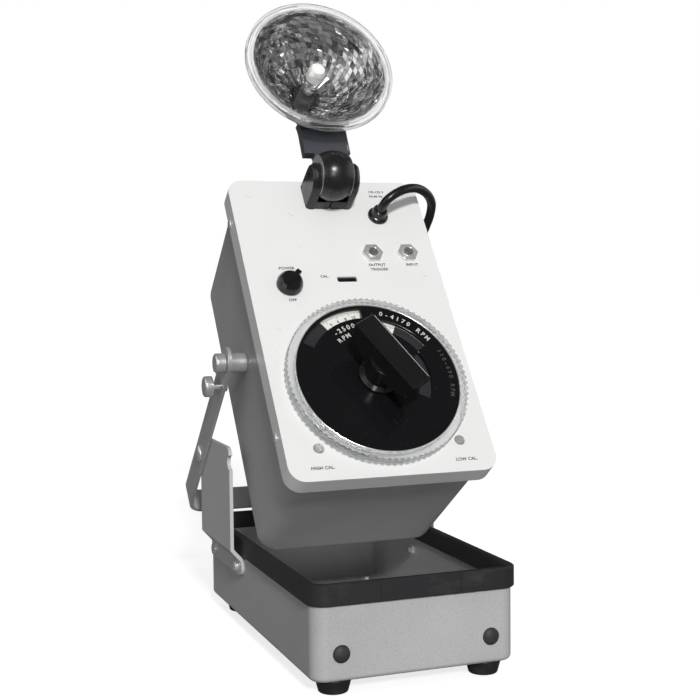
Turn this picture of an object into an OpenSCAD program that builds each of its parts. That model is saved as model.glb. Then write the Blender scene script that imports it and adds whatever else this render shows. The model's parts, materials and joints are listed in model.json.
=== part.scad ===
// Portable xenon stroboscope: a sheet-metal instrument case held by a strap
// handle over an open storage tray, with a lamp on a tilting arm.
// Millimetres. +Z is up, the control panel looks along -Y, and the origin is on
// the ground under the middle of the object.

/* [Base tray] */
// Width over the painted walls
base_w = 128; // [120:1:150]
// Depth over the painted walls, front to back
base_d = 234.6; // [225:0.2:250]
// Corner radius seen from above
base_r = 9.5; // [7:0.5:14]
// Thickness of the walls
wall_t = 1.6; // [1.2:0.1:2]
// Thickness of the floor
floor_t = 2; // [1.5:0.1:3]
// Fillet between floor and walls
floor_fillet = 5; // [3:0.5:7]
// Height of the gasket's top above the ground
rim_z = 65.8; // [62:0.2:72]
// Height of the gasket's outer skirt
gasket_h = 12.7; // [10:0.1:14]
// Thickness of the gasket outside the wall
gasket_out = 2.1; // [1.6:0.1:2.4]
// Thickness of the gasket inside the wall
gasket_in = 1.3; // [1:0.1:1.5]
// Thickness of rubber over the wall's edge
gasket_cap = 2.4; // [1.5:0.1:3]

/* [Feet and bumpers] */
// Height of the rubber feet
foot_h = 8.6; // [6:0.2:12]
// Radius of a foot under the tray
foot_r = 11; // [9:0.5:12]
// Distance of the feet from the middle of the width
foot_x = 48; // [40:1:50]
// Distance of the front feet from the front wall
foot_front = 12.6; // [12:0.2:30]
// Distance of the rear feet from the rear wall
foot_rear = 27; // [14:0.5:40]
// Radius of the foot screws
foot_screw_r = 2; // [1.5:0.1:2.5]
// Radius of the front bumpers
bumper_r = 5.3; // [4:0.1:7]
// How far the bumpers stand out
bumper_h = 2.6; // [2:0.1:4]
// Distance of the bumpers from the middle of the width
bumper_x = 47.2; // [35:0.2:50]
// Height of the bumpers above the ground
bumper_z = 25; // [22:1:38]

/* [Brackets and handle] */
// Width of a bracket, front to back
bracket_w = 78; // [70:1:90]
// Bracket's front edge behind the middle of the tray
bracket_y = 24; // [15:1:26]
// Thickness of the brackets
bracket_t = 2.4; // [2:0.1:2.6]
// How far the upper plate stands out from the wall
bracket_step = 7.2; // [6.5:0.1:9]
// Height of a bracket's lower edge above the ground
bracket_z = 39.6; // [36:0.2:42]
// Height of a bracket's top edge above the ground
bracket_top = 126.5; // [122:0.5:134]
// Radius of the notch in the bracket's front edge
notch_r = 4.9; // [3:0.1:7]
// Height of the notch above the ground
notch_z = 116.5; // [104:0.5:118]
// Radius of the bracket screws
bracket_screw_r = 1.9; // [1.4:0.1:2.2]
// Width of the handle strap
strap_w = 18; // [15:0.5:20]
// Thickness of the handle strap
strap_t = 2.4; // [2:0.1:3]
// Strap's inner face to the bracket's outer face
strap_gap = 0.4; // [0.3:0.1:0.8]
// Outside radius of the strap's bends
strap_bend_r = 12; // [8:0.5:16]
// Angle of the handle below horizontal at rest
handle_angle = 43; // [41:0.5:45]
// Distance from the handle pivot to the case stud
stud_pitch = 101; // [99:0.5:104]
// Distance from the case stud to the start of the strap's bends
strap_len = 152; // [149:0.5:156]
// Distance from the case stud to the lock pin
pin_pitch = 24.3; // [22:0.1:28]
// Radius of the handle's rivets
rivet_r = 4; // [3:0.1:5]
// Radius of the case studs
stud_r = 4; // [3:0.1:5]
// Radius of the stud caps
stud_cap_r = 6.6; // [6:0.1:8]
// Radius of the lock pins' knobs
pin_knob_r = 7; // [6:0.1:8]
// Radius of the lock pins
pin_r = 2.5; // [2:0.1:3]
// Travel of the lock pins
pin_travel = 4; // [2:0.5:4.5]

/* [Case and panel] */
// How far the panel's rim stands out past each side of the case
panel_lap = 3.9; // [3.4:0.1:5]
// Length of the control panel, bottom edge to top edge
panel_l = 226.9; // [222:0.1:232]
// Corner radius of the panel
panel_r = 10.5; // [8:0.5:14]
// Depth of the panel's turned rim
panel_rim = 13.6; // [11:0.1:16]
// Thickness of the panel
panel_t = 1.6; // [1.2:0.1:2.2]
// Lean of the panel back from upright
panel_lean = 36.33; // [34:0.01:38]
// Depth of the case behind the panel's face
case_depth = 114; // [108:0.5:116]
// How far each side of the case stands in from the tray's
case_inset = 0.5; // [0.5:0.1:3]
// How far each side of the case leans in at its back
case_taper = 2.9; // [2.8:0.1:4]
// Thickness of the case walls
case_t = 1.8; // [1.4:0.1:2.4]
// Radius of the case's long corners
case_r = 12.5; // [10:0.5:14]
// Radius of the case's back edges
case_edge_r = 9.5; // [8:0.5:10]
// Case stud above the panel's bottom edge
stud_s = 116.7; // [114:0.1:120]
// Case stud behind the panel's face
stud_h = 53.1; // [51:0.1:56]

/* [Dial and knobs] */
// Dial centre above the panel's bottom edge
dial_s = 64.5; // [62:0.5:66]
// Outside radius of the clear dial ring
dial_r = 58.5; // [56:0.5:60]
// Number of flutes round the dial ring
flutes = 90; // [60:2:96]
// Radius of the black mask disc
mask_r = 52.7; // [50:0.1:53]
// Height of the mask disc's face above the panel
mask_h = 9; // [8:0.1:11]
// Radius of the range knob's spindle
spindle_r = 3; // [2.5:0.1:3.5]
// Length of the range knob's bar
bar_l = 54; // [44:1:56]
// Width of the range knob's bar
bar_w = 15.4; // [12:0.2:18]
// Height of the range knob's top above the panel
bar_h = 38; // [32:0.5:44]
// Radius of the range knob's hub
hub_r = 10.3; // [8:0.1:12]
// Power knob right of the middle
power_x = -40.5; // [-44:0.5:-36]
// Power knob above the panel's bottom edge
power_s = 140.5; // [136:0.5:144]
// Radius of the power knob
power_r = 8.6; // [7:0.1:10]
// Height of the power knob above the panel
power_h = 9.5; // [8:0.1:12]
// Distance of the trimmers from the middle
trimmer_x = 45.9; // [40:0.1:50]
// Trimmers above the panel's bottom edge
trimmer_s = 21.6; // [16:0.2:22]
// Radius of the trimmers' slotted heads
trimmer_r = 3; // [2.4:0.1:4]

/* [Connectors] */
// Radius of the jacks' bore
jack_r = 3.175; // [3.1:0.025:3.3]
// Depth of the jacks' bore
jack_depth = 24; // [18:0.5:30]
// Left jack right of the middle
jack_x1 = 22.4; // [20:0.2:26]
// Right jack right of the middle
jack_x2 = 47.7; // [42:0.1:50]
// Jacks above the panel's bottom edge
jack_s = 165.2; // [160:0.2:170]
// Nut size across the flats
nut_af = 12.7; // [11:0.1:14]
// Radius of the mains cord
cord_r = 3.1; // [2.8:0.1:3.4]
// Radius of the cord bush
bush_r = 7; // [6:0.1:8]

/* [Lamp] */
// Lamp pivot above the panel's bottom edge
pivot_s = 216; // [212:0.5:218]
// Lamp pivot in front of the panel's face
pivot_h = 19; // [18:0.5:22]
// Lean of the lamp arm forward of the panel
lamp_lean = 8; // [0:1:12]
// Radius of the knuckle ball
ball_r = 17; // [15:0.2:17.2]
// Width of the knuckle between the cheeks
ball_w = 20.8; // [18:0.2:24]
// Thickness of each clevis cheek
cheek_t = 5.7; // [4:0.1:7]
// Width of the lamp arm
arm_w = 32.5; // [28:0.5:36]
// Thickness of the lamp arm
arm_t = 7; // [5:0.5:7.5]
// Distance from the lamp pivot to the reflector's axis
arm_len = 77.9; // [76:0.1:82]
// Reflector's rim in front of the lamp pivot
head_h = 16.3; // [15:0.1:18]
// Radius of the reflector's clear front ring
lens_r = 52; // [50:0.5:54]
// Radius of the silvered bowl at its mouth
bowl_r = 46.6; // [44:0.2:47]
// Depth of the silvered bowl
bowl_depth = 40; // [38:0.5:42]
// Radius of the hole in the bowl's back
bowl_hole_r = 9; // [8:0.2:10]
// Rings of facets in the bowl
facet_rings = 9; // [6:1:12]
// Facets in each ring
facets = 30; // [24:2:36]
// Radius of the flash tube
tube_r = 4.6; // [3.5:0.1:6]

/* [Hidden] */
$fn = 64;

fit = 0.05;
seat = 0.3;
gasket_z = rim_z - gasket_h;
wall_top = rim_z - gasket_cap;
floor_top = foot_h + floor_t;
front_y = -base_d / 2 - bumper_h;
// Handle: everything hangs on the pivot in the brackets
pivot_inset_y = 6.7;
pivot_inset_z = 12.6;
pivot_y = bracket_y + bracket_w - pivot_inset_y;
pivot_z = bracket_top - pivot_inset_z;
plate_in = base_w / 2 + bracket_step;
plate_out = plate_in + bracket_t;
strap_in = plate_out + strap_gap;
strap_out = strap_in + strap_t;
stud_y = pivot_y - stud_pitch * cos(handle_angle);
stud_z = pivot_z + stud_pitch * sin(handle_angle);
strap_end = strap_len + strap_bend_r;
back_y = stud_y + strap_end * cos(handle_angle) + strap_w / 2 * sin(handle_angle);
// The origin is in the middle between the bumpers and the handle's crossbar
mid_y = (front_y + back_y) / 2;
// Instrument: the panel's bottom edge, found from the stud
tilt = 90 - panel_lean;
panel_y = stud_y - stud_s * cos(tilt) - stud_h * sin(tilt);
panel_z = stud_z - stud_s * sin(tilt) + stud_h * cos(tilt);
case_w = base_w - 2 * case_inset;
case_back_w = case_w - 2 * case_taper;
panel_w = case_w + 2 * panel_lap;
panel_side = panel_w / 2;
case_front_s = 3.6;
case_slope_bottom = 1.9;
case_slope_top = 5.3;
spacer_in = case_w / 2 - case_taper * stud_h / case_depth;
cap_h = 6.5;
// Dial levels above the panel's face
web_h = 1.4;
web_t = 1.4;
disc_t = 3.4;
ring_h = mask_h + 0.4;
mask_t = 2;
bush_wall = 2;
hub_wall = 3;
bush_out = spindle_r + fit + bush_wall;
hub_out = bush_out + fit + hub_wall;
pot_depth = 30;
plate_depth = 36;
switch_depth = 54;
chassis_depth = 78;
bar_angle = -61.6;
window_r = [47, 39.3, 31];
window_w = [7.2, 7.9, 7.6];
window_from = [91, 30, -30];
window_span = 60;
window_slot_s = 144.7;
// Inside the case
chassis_w = panel_w - 42.8;
chassis_from_s = 18;
chassis_lip = 10;
core_w = 60;
core_l = 48;
core_h = 30;
core_s = 164;
capacitor_r = 9.5;
capacitor_l = 32;
capacitor_pitch = 22;
capacitor_s = 62;
board_w = chassis_w - 20;
board_l = 88;
board_s = 100;
board_up = 6;
pot_r = 21;
wafer_r = 19;
wafer_pitch = 8.2;
sheet = 1.6;
// Lamp
cheek_out = ball_w / 2 + seat + cheek_t;
cheek_r = 11;
cheek_drop = [3, 7];
lamp_pin_r = 2.2;
arm_clear = 19.2;
arm_face = 0.5;
socket_r = 15;
socket_l = 20;
bowl_t = 1.2;
bowl_back = bowl_depth - 4;
socket_top = head_h - bowl_back - bowl_t - seat;
socket_base = socket_top - socket_l;
// Mains cord: chosen by hand. It leaves the bush, turns back round the panel's right
// edge (right, up the panel, out of it), hangs down behind the case (right, back, up),
// lies over the handle's crossbar and comes down to a coil on the ground.
bush_x = 34;
bush_s = 197;
panel_route = [
    [34, 197, 2], [34, 197, 9], [36.8, 198.8, 16], [45, 203, 19], [54, 207, 18],
    [63, 210, 14], [70.5, 209.5, 9.5], [74.5, 205.5, 5], [75.6, 202, -3], [75, 199, -13]
];
hang_route = [
    [73.6, 47, 262], [72.4, 60, 241], [71.2, 75, 213], [69.6, 91, 181], [68, 107, 149],
    [66.6, 122, 120], [66, 133, 101], [66, 142.5, 88]
];
lower_route = [
    [66, 150.6, 81.5], [66, 154.2, 72], [66, 155.5, 60], [66, 156, 44],
    [66.4, 157, 30], [68.5, 161, 17], [73, 169, 8], [78.8, 180, 4.2], [83.4, 192, 3.4],
    [85.6, 202, 3.3], [86, 208, 3.3]
];
coil_centre = [40, 215];
coil_r = 46;
coil_pitch = 6.8;
coil_turns = 6;
coil_reverse = 3.25;
coil_rings = 24;
coil_z = 3.3;
plug_lead = 41;
plug_r = 10;
plug_l = 42;
blade_gap = 12.7;

function from_panel(p) = [
    p[0],
    panel_y + p[1] * cos(tilt) - p[2] * sin(tilt),
    panel_z + p[1] * sin(tilt) + p[2] * cos(tilt)
];

module floor_frame() {
    translate([0, -mid_y, 0]) children();
}

// Instrument frame: X right, Y up the panel from its bottom edge, Z out of its face
module instrument() {
    translate([0, panel_y - mid_y, panel_z]) rotate([tilt, 0, 0]) children();
}

// Lamp frame: origin at the pivot, Y up the arm, Z out of the reflector
module lamp() {
    instrument() translate([0, pivot_s, pivot_h]) rotate([lamp_lean, 0, 0]) children();
}

module handle_frame() {
    translate([0, stud_y - mid_y, stud_z]) rotate([-handle_angle, 0, 0]) children();
}

module both_sides() {
    children();
    mirror([1, 0, 0]) children();
}

module rounded(w, d, r) {
    k = min(r, w / 2 - 0.1, d / 2 - 0.1);
    square([w - 2 * k, d], center = true);
    square([w, d - 2 * k], center = true);
    for (x = [-1, 1], y = [-1, 1])
        translate([x * (w / 2 - k), y * (d / 2 - k)]) circle(r = k);
}

// Sweeps a profile (x outward from the rounded rectangle, y up) round it
module sweep_round(w, d, r) {
    for (q = [0, 1], k = [0, 1]) {
        across = (k == 0) ? w : d;
        along = (k == 0) ? d : w;
        rotate(180 * q + 90 * k)
            translate([across / 2, along / 2 - r, 0])
                rotate([90, 0, 0]) linear_extrude(along - 2 * r) children();
    }
    for (x = [0, 1], y = [0, 1])
        mirror([x, 0, 0]) mirror([0, y, 0])
            translate([w / 2 - r, d / 2 - r, 0])
                rotate_extrude(angle = 90) translate([r, 0]) children();
}

module tube_z(r_out, r_in, h) {
    difference() {
        cylinder(r = r_out, h = h);
        translate([0, 0, -1]) cylinder(r = r_in, h = h + 2);
    }
}

// A cylinder along +X from x0 to x1
module along_x(r, x0, x1) {
    translate([x0, 0, 0]) rotate([0, 90, 0]) cylinder(r = r, h = x1 - x0);
}

module arc_slot(r, w, from, span) {
    intersection() {
        difference() {
            circle(r = r + w / 2);
            circle(r = r - w / 2);
        }
        polygon(concat([[0, 0]], [for (a = [0:span / 6:span]) 2 * r * [cos(from + a), sin(from + a)]]));
    }
}

foot_places = [
    for (x = [-foot_x, foot_x], y = [-base_d / 2 + foot_front, base_d / 2 - foot_rear]) [x, y]
];
bracket_screw_y = [bracket_y + 12, bracket_y + bracket_w - 10];
bracket_screw_z = bracket_z + 5.6;

module base_tray() {
    color([0.62, 0.63, 0.64]) floor_frame() difference() {
        union() {
            sweep_round(base_w, base_d, base_r) polygon(concat(
                [for (a = [0:22.5:90]) [-3 + 3 * sin(a), foot_h + 3 - 3 * cos(a)]],
                [[0, wall_top], [-wall_t, wall_top]],
                [for (a = [0:22.5:90])
                    [-wall_t - floor_fillet * (1 - cos(a)), floor_top + floor_fillet * (1 - sin(a))]],
                [[-base_r, floor_top], [-base_r, foot_h]]
            ));
            translate([0, 0, foot_h]) linear_extrude(floor_t)
                square([base_w - 2 * base_r + 0.2, base_d - 2 * base_r + 0.2], center = true);
        }
        for (p = foot_places)
            translate([p.x, p.y, foot_h - 1]) cylinder(r = foot_screw_r + fit, h = floor_t + 2);
        for (x = [-1, 1]) translate([x * bumper_x, -base_d / 2 - 1, bumper_z])
            rotate([-90, 0, 0]) cylinder(r = bumper_r - 2, h = wall_t + 2);
        both_sides() for (y = bracket_screw_y) translate([0, y, bracket_screw_z])
            along_x(bracket_screw_r + fit, base_w / 2 - wall_t - 1, base_w / 2 + 1);
    }
}

module rim_gasket() {
    bevel = 0.7;
    color([0.09, 0.09, 0.1]) floor_frame() sweep_round(base_w, base_d, base_r) polygon([
        [0, gasket_z], [gasket_out - bevel, gasket_z], [gasket_out, gasket_z + bevel],
        [gasket_out, rim_z - bevel], [gasket_out - bevel, rim_z],
        [-wall_t - gasket_in + bevel, rim_z], [-wall_t - gasket_in, rim_z - bevel],
        [-wall_t - gasket_in, gasket_z + 1], [-wall_t, gasket_z + 1], [-wall_t, wall_top],
        [0, wall_top]
    ]);
}

module feet() {
    color([0.05, 0.05, 0.05]) floor_frame() for (p = foot_places) translate([p.x, p.y, 0])
        rotate_extrude() difference() {
            polygon([[0, 0], [foot_r - 3, 0], [foot_r - 2.2, 0.5], [foot_r - 0.4, foot_h - 1.4],
                [foot_r, foot_h - 0.8], [foot_r, foot_h], [0, foot_h]]);
            square([2 * (foot_screw_r + fit), 2 * foot_h], center = true);
            square([2 * (foot_screw_r + 3), foot_h - 0.6], center = true);
        }
}

module foot_screws() {
    head = 2.2;
    head_z = foot_h / 2 - 0.3 - head;
    color([0.6, 0.6, 0.6]) floor_frame() for (p = foot_places) translate([p.x, p.y, 0]) {
        translate([0, 0, head_z]) cylinder(r = foot_screw_r + 2, h = head);
        translate([0, 0, head_z]) cylinder(r = foot_screw_r, h = floor_top + 4 - head_z);
    }
}

module foot_nuts() {
    color([0.7, 0.7, 0.7]) floor_frame() for (p = foot_places) translate([p.x, p.y, floor_top])
        difference() {
            cylinder(r = foot_screw_r + 2.2, h = 2.4, $fn = 6);
            translate([0, 0, -1]) cylinder(r = foot_screw_r + fit, h = 5);
        }
}

module front_bumpers() {
    color([0.05, 0.05, 0.05]) floor_frame() for (x = [-1, 1])
        translate([x * bumper_x, -base_d / 2, bumper_z]) rotate([90, 0, 0]) rotate_extrude() polygon(concat(
            [[0, -wall_t - 2], [bumper_r - 0.6, -wall_t - 2], [bumper_r - 0.6, -wall_t]],
            [[bumper_r - 2 - fit, -wall_t], [bumper_r - 2 - fit, 0], [bumper_r, 0]],
            [for (a = [15:15:90]) [bumper_r * cos(a), bumper_h * sin(a)]]
        ));
}

module bracket_plate() {
    foot_top = gasket_z - 3.1;
    step_h = 8;
    r = 7;
    color([0.66, 0.67, 0.68]) floor_frame() difference() {
        intersection() {
            translate([0, bracket_y + bracket_w, 0]) rotate([90, 0, 0]) linear_extrude(bracket_w) polygon([
                [base_w / 2, bracket_z], [base_w / 2 + bracket_t, bracket_z],
                [base_w / 2 + bracket_t, foot_top - 0.5], [plate_out, foot_top + step_h - 0.5],
                [plate_out, bracket_top], [plate_in, bracket_top],
                [plate_in, foot_top + step_h + 0.5], [base_w / 2, foot_top + 0.5]
            ]);
            rotate([90, 0, 90]) linear_extrude(plate_out + 1)
                translate([bracket_y + bracket_w / 2, (bracket_z + bracket_top) / 2])
                    rounded(bracket_w, bracket_top - bracket_z, r);
        }
        for (y = bracket_screw_y) translate([0, y, bracket_screw_z])
            along_x(bracket_screw_r + fit, base_w / 2 - 1, base_w / 2 + bracket_t + 1);
        translate([0, pivot_y, pivot_z]) along_x(rivet_r + fit, plate_in - 1, plate_out + 1);
        translate([0, bracket_y, notch_z]) along_x(notch_r, plate_in - 1, plate_out + 1);
    }
}

module bracket_right() bracket_plate();

module bracket_left() mirror([1, 0, 0]) bracket_plate();

module bracket_screws() {
    head = 2.2;
    color([0.75, 0.75, 0.75]) floor_frame() both_sides() for (y = bracket_screw_y)
        translate([0, y, bracket_screw_z]) {
            along_x(bracket_screw_r, base_w / 2 - wall_t - 4, base_w / 2 + bracket_t + head);
            along_x(bracket_screw_r + 1.8, base_w / 2 + bracket_t, base_w / 2 + bracket_t + head);
        }
}

module bracket_nuts() {
    color([0.75, 0.75, 0.75]) floor_frame() both_sides() for (y = bracket_screw_y)
        translate([base_w / 2 - wall_t - 2.4, y, bracket_screw_z]) rotate([0, 90, 0]) difference() {
            cylinder(r = bracket_screw_r + 2, h = 2.4, $fn = 6);
            translate([0, 0, -1]) cylinder(r = bracket_screw_r + fit, h = 5);
        }
}

module handle_rivets() {
    head_r = rivet_r + 2.6;
    color([0.72, 0.73, 0.74]) floor_frame() both_sides() translate([0, pivot_y, pivot_z]) {
        along_x(rivet_r, plate_in - 1.5, strap_out + fit);
        along_x(head_r, plate_in - 1.5, plate_in);
        translate([strap_out + fit, 0, 0]) rotate([0, 90, 0]) rotate_extrude() polygon(concat(
            [[0, 0], [head_r, 0], [head_r, 0.5]],
            [for (a = [18:18:90]) [head_r * cos(a), 0.5 + 1.5 * sin(a)]]
        ));
    }
}

module handle_strap() {
    r_in = strap_bend_r - strap_t;
    end_shift = 2.5;
    color([0.63, 0.64, 0.66]) handle_frame() difference() {
        intersection() {
            linear_extrude(strap_w + 2, center = true) {
                both_sides() {
                    translate([strap_in, -strap_w]) square([strap_t, strap_w + strap_len]);
                    translate([strap_out - strap_bend_r, strap_len]) intersection() {
                        difference() {
                            circle(r = strap_bend_r);
                            circle(r = r_in);
                        }
                        square(strap_bend_r + 1);
                    }
                }
                translate([0, strap_len + r_in + strap_t / 2])
                    square([2 * (strap_out - strap_bend_r), strap_t], center = true);
            }
            rotate([90, 0, 90]) linear_extrude(2 * strap_out + 2, center = true) {
                translate([-end_shift, -strap_w / 2]) square([strap_end + end_shift + 1, strap_w]);
                translate([-end_shift, 0]) circle(r = strap_w / 2);
            }
        }
        both_sides() {
            along_x(stud_r + fit, strap_in - 1, strap_out + 1);
            translate([0, pin_pitch, 0]) along_x(pin_r + fit, strap_in - 1, strap_out + 1);
            translate([0, stud_pitch, 0]) along_x(rivet_r + fit, strap_in - 1, strap_out + 1);
        }
    }
}

module lock_pin() {
    knob_in = strap_out + pin_travel + seat;
    knob_h = 5.5;
    color([0.7, 0.71, 0.72]) handle_frame() translate([0, pin_pitch, 0]) {
        along_x(pin_r, strap_in - 3.5, knob_in + 0.1);
        along_x(pin_r + 1.2, strap_in - 3.5, strap_in - 2);
        translate([knob_in, 0, 0]) rotate([0, 90, 0]) rotate_extrude() polygon([
            [0, 0], [pin_knob_r, 0], [pin_knob_r, knob_h - 0.8], [pin_knob_r - 0.8, knob_h], [0, knob_h]
        ]);
    }
}

module lock_pin_right() lock_pin();

module lock_pin_left() mirror([1, 0, 0]) lock_pin();

// The case's outer form, drawn in by t all round
module case_form(t) {
    w_front = case_w / 2 - t;
    w_back = case_back_w / 2 - t;
    s0 = case_front_s + t;
    s1 = panel_l - case_front_s - t;
    back = case_depth - t;
    front = panel_t + t;
    r = case_edge_r - t / 2;
    intersection() {
        translate([0, panel_l / 2, -back]) linear_extrude(back - front)
            rounded(2 * w_front, s1 - s0, case_r - t / 2);
        translate([0, s1 + 1, 0]) rotate([90, 0, 0]) linear_extrude(s1 - s0 + 2)
            difference() {
                polygon([[-w_front, -front], [-w_back, -back], [w_back, -back], [w_front, -front]]);
                both_sides() translate([w_back - r, -back + r]) difference() {
                    translate([0, -r - 1]) square([r + 1, r + 1]);
                    circle(r = r);
                }
            }
        rotate([90, 0, 90]) linear_extrude(2 * w_front + 2, center = true) difference() {
            polygon([[s0, -front], [s0 + case_slope_bottom, -back], [s1 - case_slope_top, -back],
                [s1, -front]]);
            translate([s0 + case_slope_bottom + r, -back + r]) difference() {
                translate([-r - 1, -r - 1]) square([r + 1, r + 1]);
                circle(r = r);
            }
            translate([s1 - case_slope_top - r, -back + r]) difference() {
                translate([0, -r - 1]) square([r + 1, r + 1]);
                circle(r = r);
            }
        }
    }
}

module case_shell() {
    color([0.62, 0.63, 0.65]) instrument() difference() {
        case_form(0);
        difference() {
            case_form(case_t);
            for (x = [-1, 1]) translate([x * spacer_in, stud_s, -stud_h])
                rotate([0, 90, 0]) cylinder(r = stud_r + 3, h = 12, center = true);
        }
        translate([0, panel_l / 2, -case_t * 2 - panel_t])
            linear_extrude(case_t * 2 + panel_t + 1)
                rounded(case_w - 2 * case_t, panel_l - 2 * case_front_s - 2 * case_t, case_r - case_t / 2);
        translate([0, stud_s, -stud_h]) both_sides() along_x(stud_r + fit, spacer_in - 8, spacer_in + 2);
    }
}

module case_studs() {
    color([0.7, 0.71, 0.72]) instrument() translate([0, stud_s, -stud_h]) both_sides() {
        along_x(stud_r, spacer_in - 5, strap_out + seat + 1);
        translate([strap_out + seat, 0, 0]) rotate([0, 90, 0]) rotate_extrude() polygon([
            [0, 0], [stud_cap_r, 0], [stud_cap_r, cap_h - 0.8], [stud_cap_r - 0.8, cap_h], [0, cap_h]
        ]);
    }
}

module stud_spacers() {
    color([0.7, 0.71, 0.72]) instrument() translate([0, stud_s, -stud_h]) both_sides()
        translate([spacer_in + seat, 0, 0]) rotate([0, 90, 0])
            tube_z(stud_cap_r - 0.1, stud_r + fit, strap_in - spacer_in - 2 * seat);
}

panel_screw_places = [
    [12.6 - panel_side, 214.6], [-26.8, 199.5], [-26.8, 173.8], [-25.5, 118.4],
    [13.4 - panel_side, 108.7], [13.5 - panel_side, 95.3], [panel_side - 12.5, 96.4],
    [panel_side - 11.3, 148.9], [17 - panel_side, 42.4]
];
panel_screw_r = 2.6;
rim_screw_places = [35.8, 198];
rim_screw_h = -10.2;
rim_screw_r = 1.5;

module panel_outline(t) {
    translate([0, panel_l / 2]) rounded(panel_w - 2 * t, panel_l - 2 * t, panel_r - t);
}

module front_panel() {
    color([0.93, 0.93, 0.92]) instrument() difference() {
        translate([0, 0, -panel_rim]) linear_extrude(panel_rim) panel_outline(0);
        translate([0, 0, -panel_rim - 1]) linear_extrude(panel_rim + 1 - panel_t) panel_outline(panel_t);
        translate([0, dial_s, -panel_t - 1]) cylinder(r = hub_out + 0.5, h = panel_t + 2);
        translate([power_x, power_s, -panel_t - 1]) cylinder(r = 3.2, h = panel_t + 2);
        for (x = [-1, 1]) translate([x * trimmer_x, trimmer_s, -panel_t - 1])
            cylinder(r = trimmer_r + 0.4, h = panel_t + 2);
        for (x = [jack_x1, jack_x2]) translate([x, jack_s, -panel_t - 1])
            cylinder(r = jack_r + 1.5 + fit, h = panel_t + 2);
        translate([bush_x, bush_s, -panel_t - 1]) cylinder(r = bush_r - 1.5, h = panel_t + 2);
        translate([0, window_slot_s, -panel_t - 1]) linear_extrude(panel_t + 2) rounded(13.5, 4.2, 1);
        for (p = panel_screw_places) translate([p.x, p.y, -panel_t - 1])
            cylinder(r = panel_screw_r - 1 + fit, h = panel_t + 2);
        for (s = rim_screw_places) translate([0, s, rim_screw_h]) both_sides()
            along_x(rim_screw_r + fit, panel_w / 2 - panel_t - 1, panel_w / 2 + 1);
    }
}

module rim_screws() {
    color([0.75, 0.75, 0.75]) instrument() for (s = rim_screw_places)
        translate([0, s, rim_screw_h]) both_sides() {
            along_x(rim_screw_r, case_w / 2 + 0.2, panel_w / 2 + 1);
            along_x(rim_screw_r + 1.2, panel_w / 2, panel_w / 2 + 1.1);
        }
}

module panel_screws() {
    color([0.8, 0.8, 0.79]) instrument() for (p = panel_screw_places) translate([p.x, p.y, 0]) {
        cylinder(r = panel_screw_r, h = 0.5);
        translate([0, 0, -6]) cylinder(r = panel_screw_r - 1, h = 6.2);
    }
}

module chassis_bracket() {
    w = chassis_w;
    l = panel_l - 34.9;
    post = 2.1;
    color([0.72, 0.72, 0.7]) instrument() translate([0, chassis_from_s, -chassis_depth]) {
        difference() {
            translate([-w / 2, 0, 0]) cube([w, l, sheet]);
            for (x = [-30, 0, 30], s = [26, 96, 166]) translate([x, s, -1]) cylinder(r = 4, h = sheet + 2);
        }
        both_sides() translate([w / 2 - sheet, 0, 0]) cube([sheet, l, chassis_lip]);
        for (x = [-1, 1], s = [66, l - 4]) translate([x * (w / 2 - 4), s, 0])
            cylinder(r = post, h = chassis_depth - panel_t - fit);
    }
}

module power_transformer() {
    winding = 6;
    color([0.35, 0.33, 0.3]) instrument() translate([0, core_s, -chassis_depth - fit - core_h]) {
        translate([-core_w / 2, -core_l / 2, 0]) cube([core_w, core_l, core_h]);
        for (y = [-1, 1]) translate([11 - core_w / 2, y * (core_l + winding) / 2 - winding / 2, 4])
            cube([core_w - 22, winding, core_h - 8]);
    }
}

module filter_capacitors() {
    color([0.2, 0.25, 0.35]) instrument() for (i = [-1.5:1.5])
        translate([i * capacitor_pitch, capacitor_s, -chassis_depth - fit - capacitor_l])
            cylinder(r = capacitor_r, h = capacitor_l);
}

module circuit_board() {
    color([0.15, 0.35, 0.2]) instrument() translate([0, board_s, sheet + fit - chassis_depth]) {
        translate([-board_w / 2, 0, board_up]) cube([board_w, board_l, sheet]);
        for (x = [-1, 1], y = [6, board_l - 6]) translate([x * (board_w / 2 - 5), y, 0])
            cylinder(r = 2.5, h = board_up);
        for (x = [-28, -10, 12, 29], y = [16, 40, 74]) translate([x, y, board_up + sheet])
            cylinder(r = 4, h = 9);
    }
}

module dial_potentiometer() {
    color([0.5, 0.5, 0.52]) instrument() translate([0, dial_s, -pot_depth])
        tube_z(pot_r, hub_out + 0.3, pot_depth - 14);
}

module dial_bush() {
    plate_r = 34;
    post = 3;
    color([0.75, 0.7, 0.45]) instrument() translate([0, dial_s, -plate_depth]) {
        difference() {
            union() {
                cylinder(r = plate_r, h = 1.6);
                for (a = [45:90:315]) rotate(a) translate([plate_r - post, 0, 0])
                    cylinder(r = post, h = plate_depth - panel_t - 0.05);
                for (a = [0:90:270]) rotate(a) translate([15, 0, 0])
                    cylinder(r = 2, h = plate_depth - pot_depth - 0.05);
                cylinder(r = bush_out, h = plate_depth + mask_h - mask_t);
                cylinder(r = bush_out - 1, h = plate_depth + mask_h + 0.6);
            }
            translate([0, 0, -1]) cylinder(r = spindle_r + fit, h = plate_depth + mask_h + 3);
        }
    }
}

module range_switch() {
    color([0.45, 0.32, 0.2]) instrument() translate([0, dial_s, -switch_depth]) {
        for (i = [0:2]) translate([0, 0, i * wafer_pitch]) tube_z(wafer_r, spindle_r + fit, sheet);
        for (a = [0, 180]) rotate(a) translate([wafer_r - 3, 0, 0]) cylinder(r = 2, h = 2 * wafer_pitch + 1.5);
    }
}

module dial_lamps() {
    color([0.9, 0.85, 0.7]) instrument() for (i = [0:2]) {
        a = window_from[i] + window_span / 2;
        translate([window_r[i] * cos(a), dial_s + window_r[i] * sin(a), -panel_t]) rotate([180, 0, 0]) {
            cylinder(r = 3, h = 10);
            translate([0, 0, 10]) sphere(r = 3);
        }
    }
}

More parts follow.
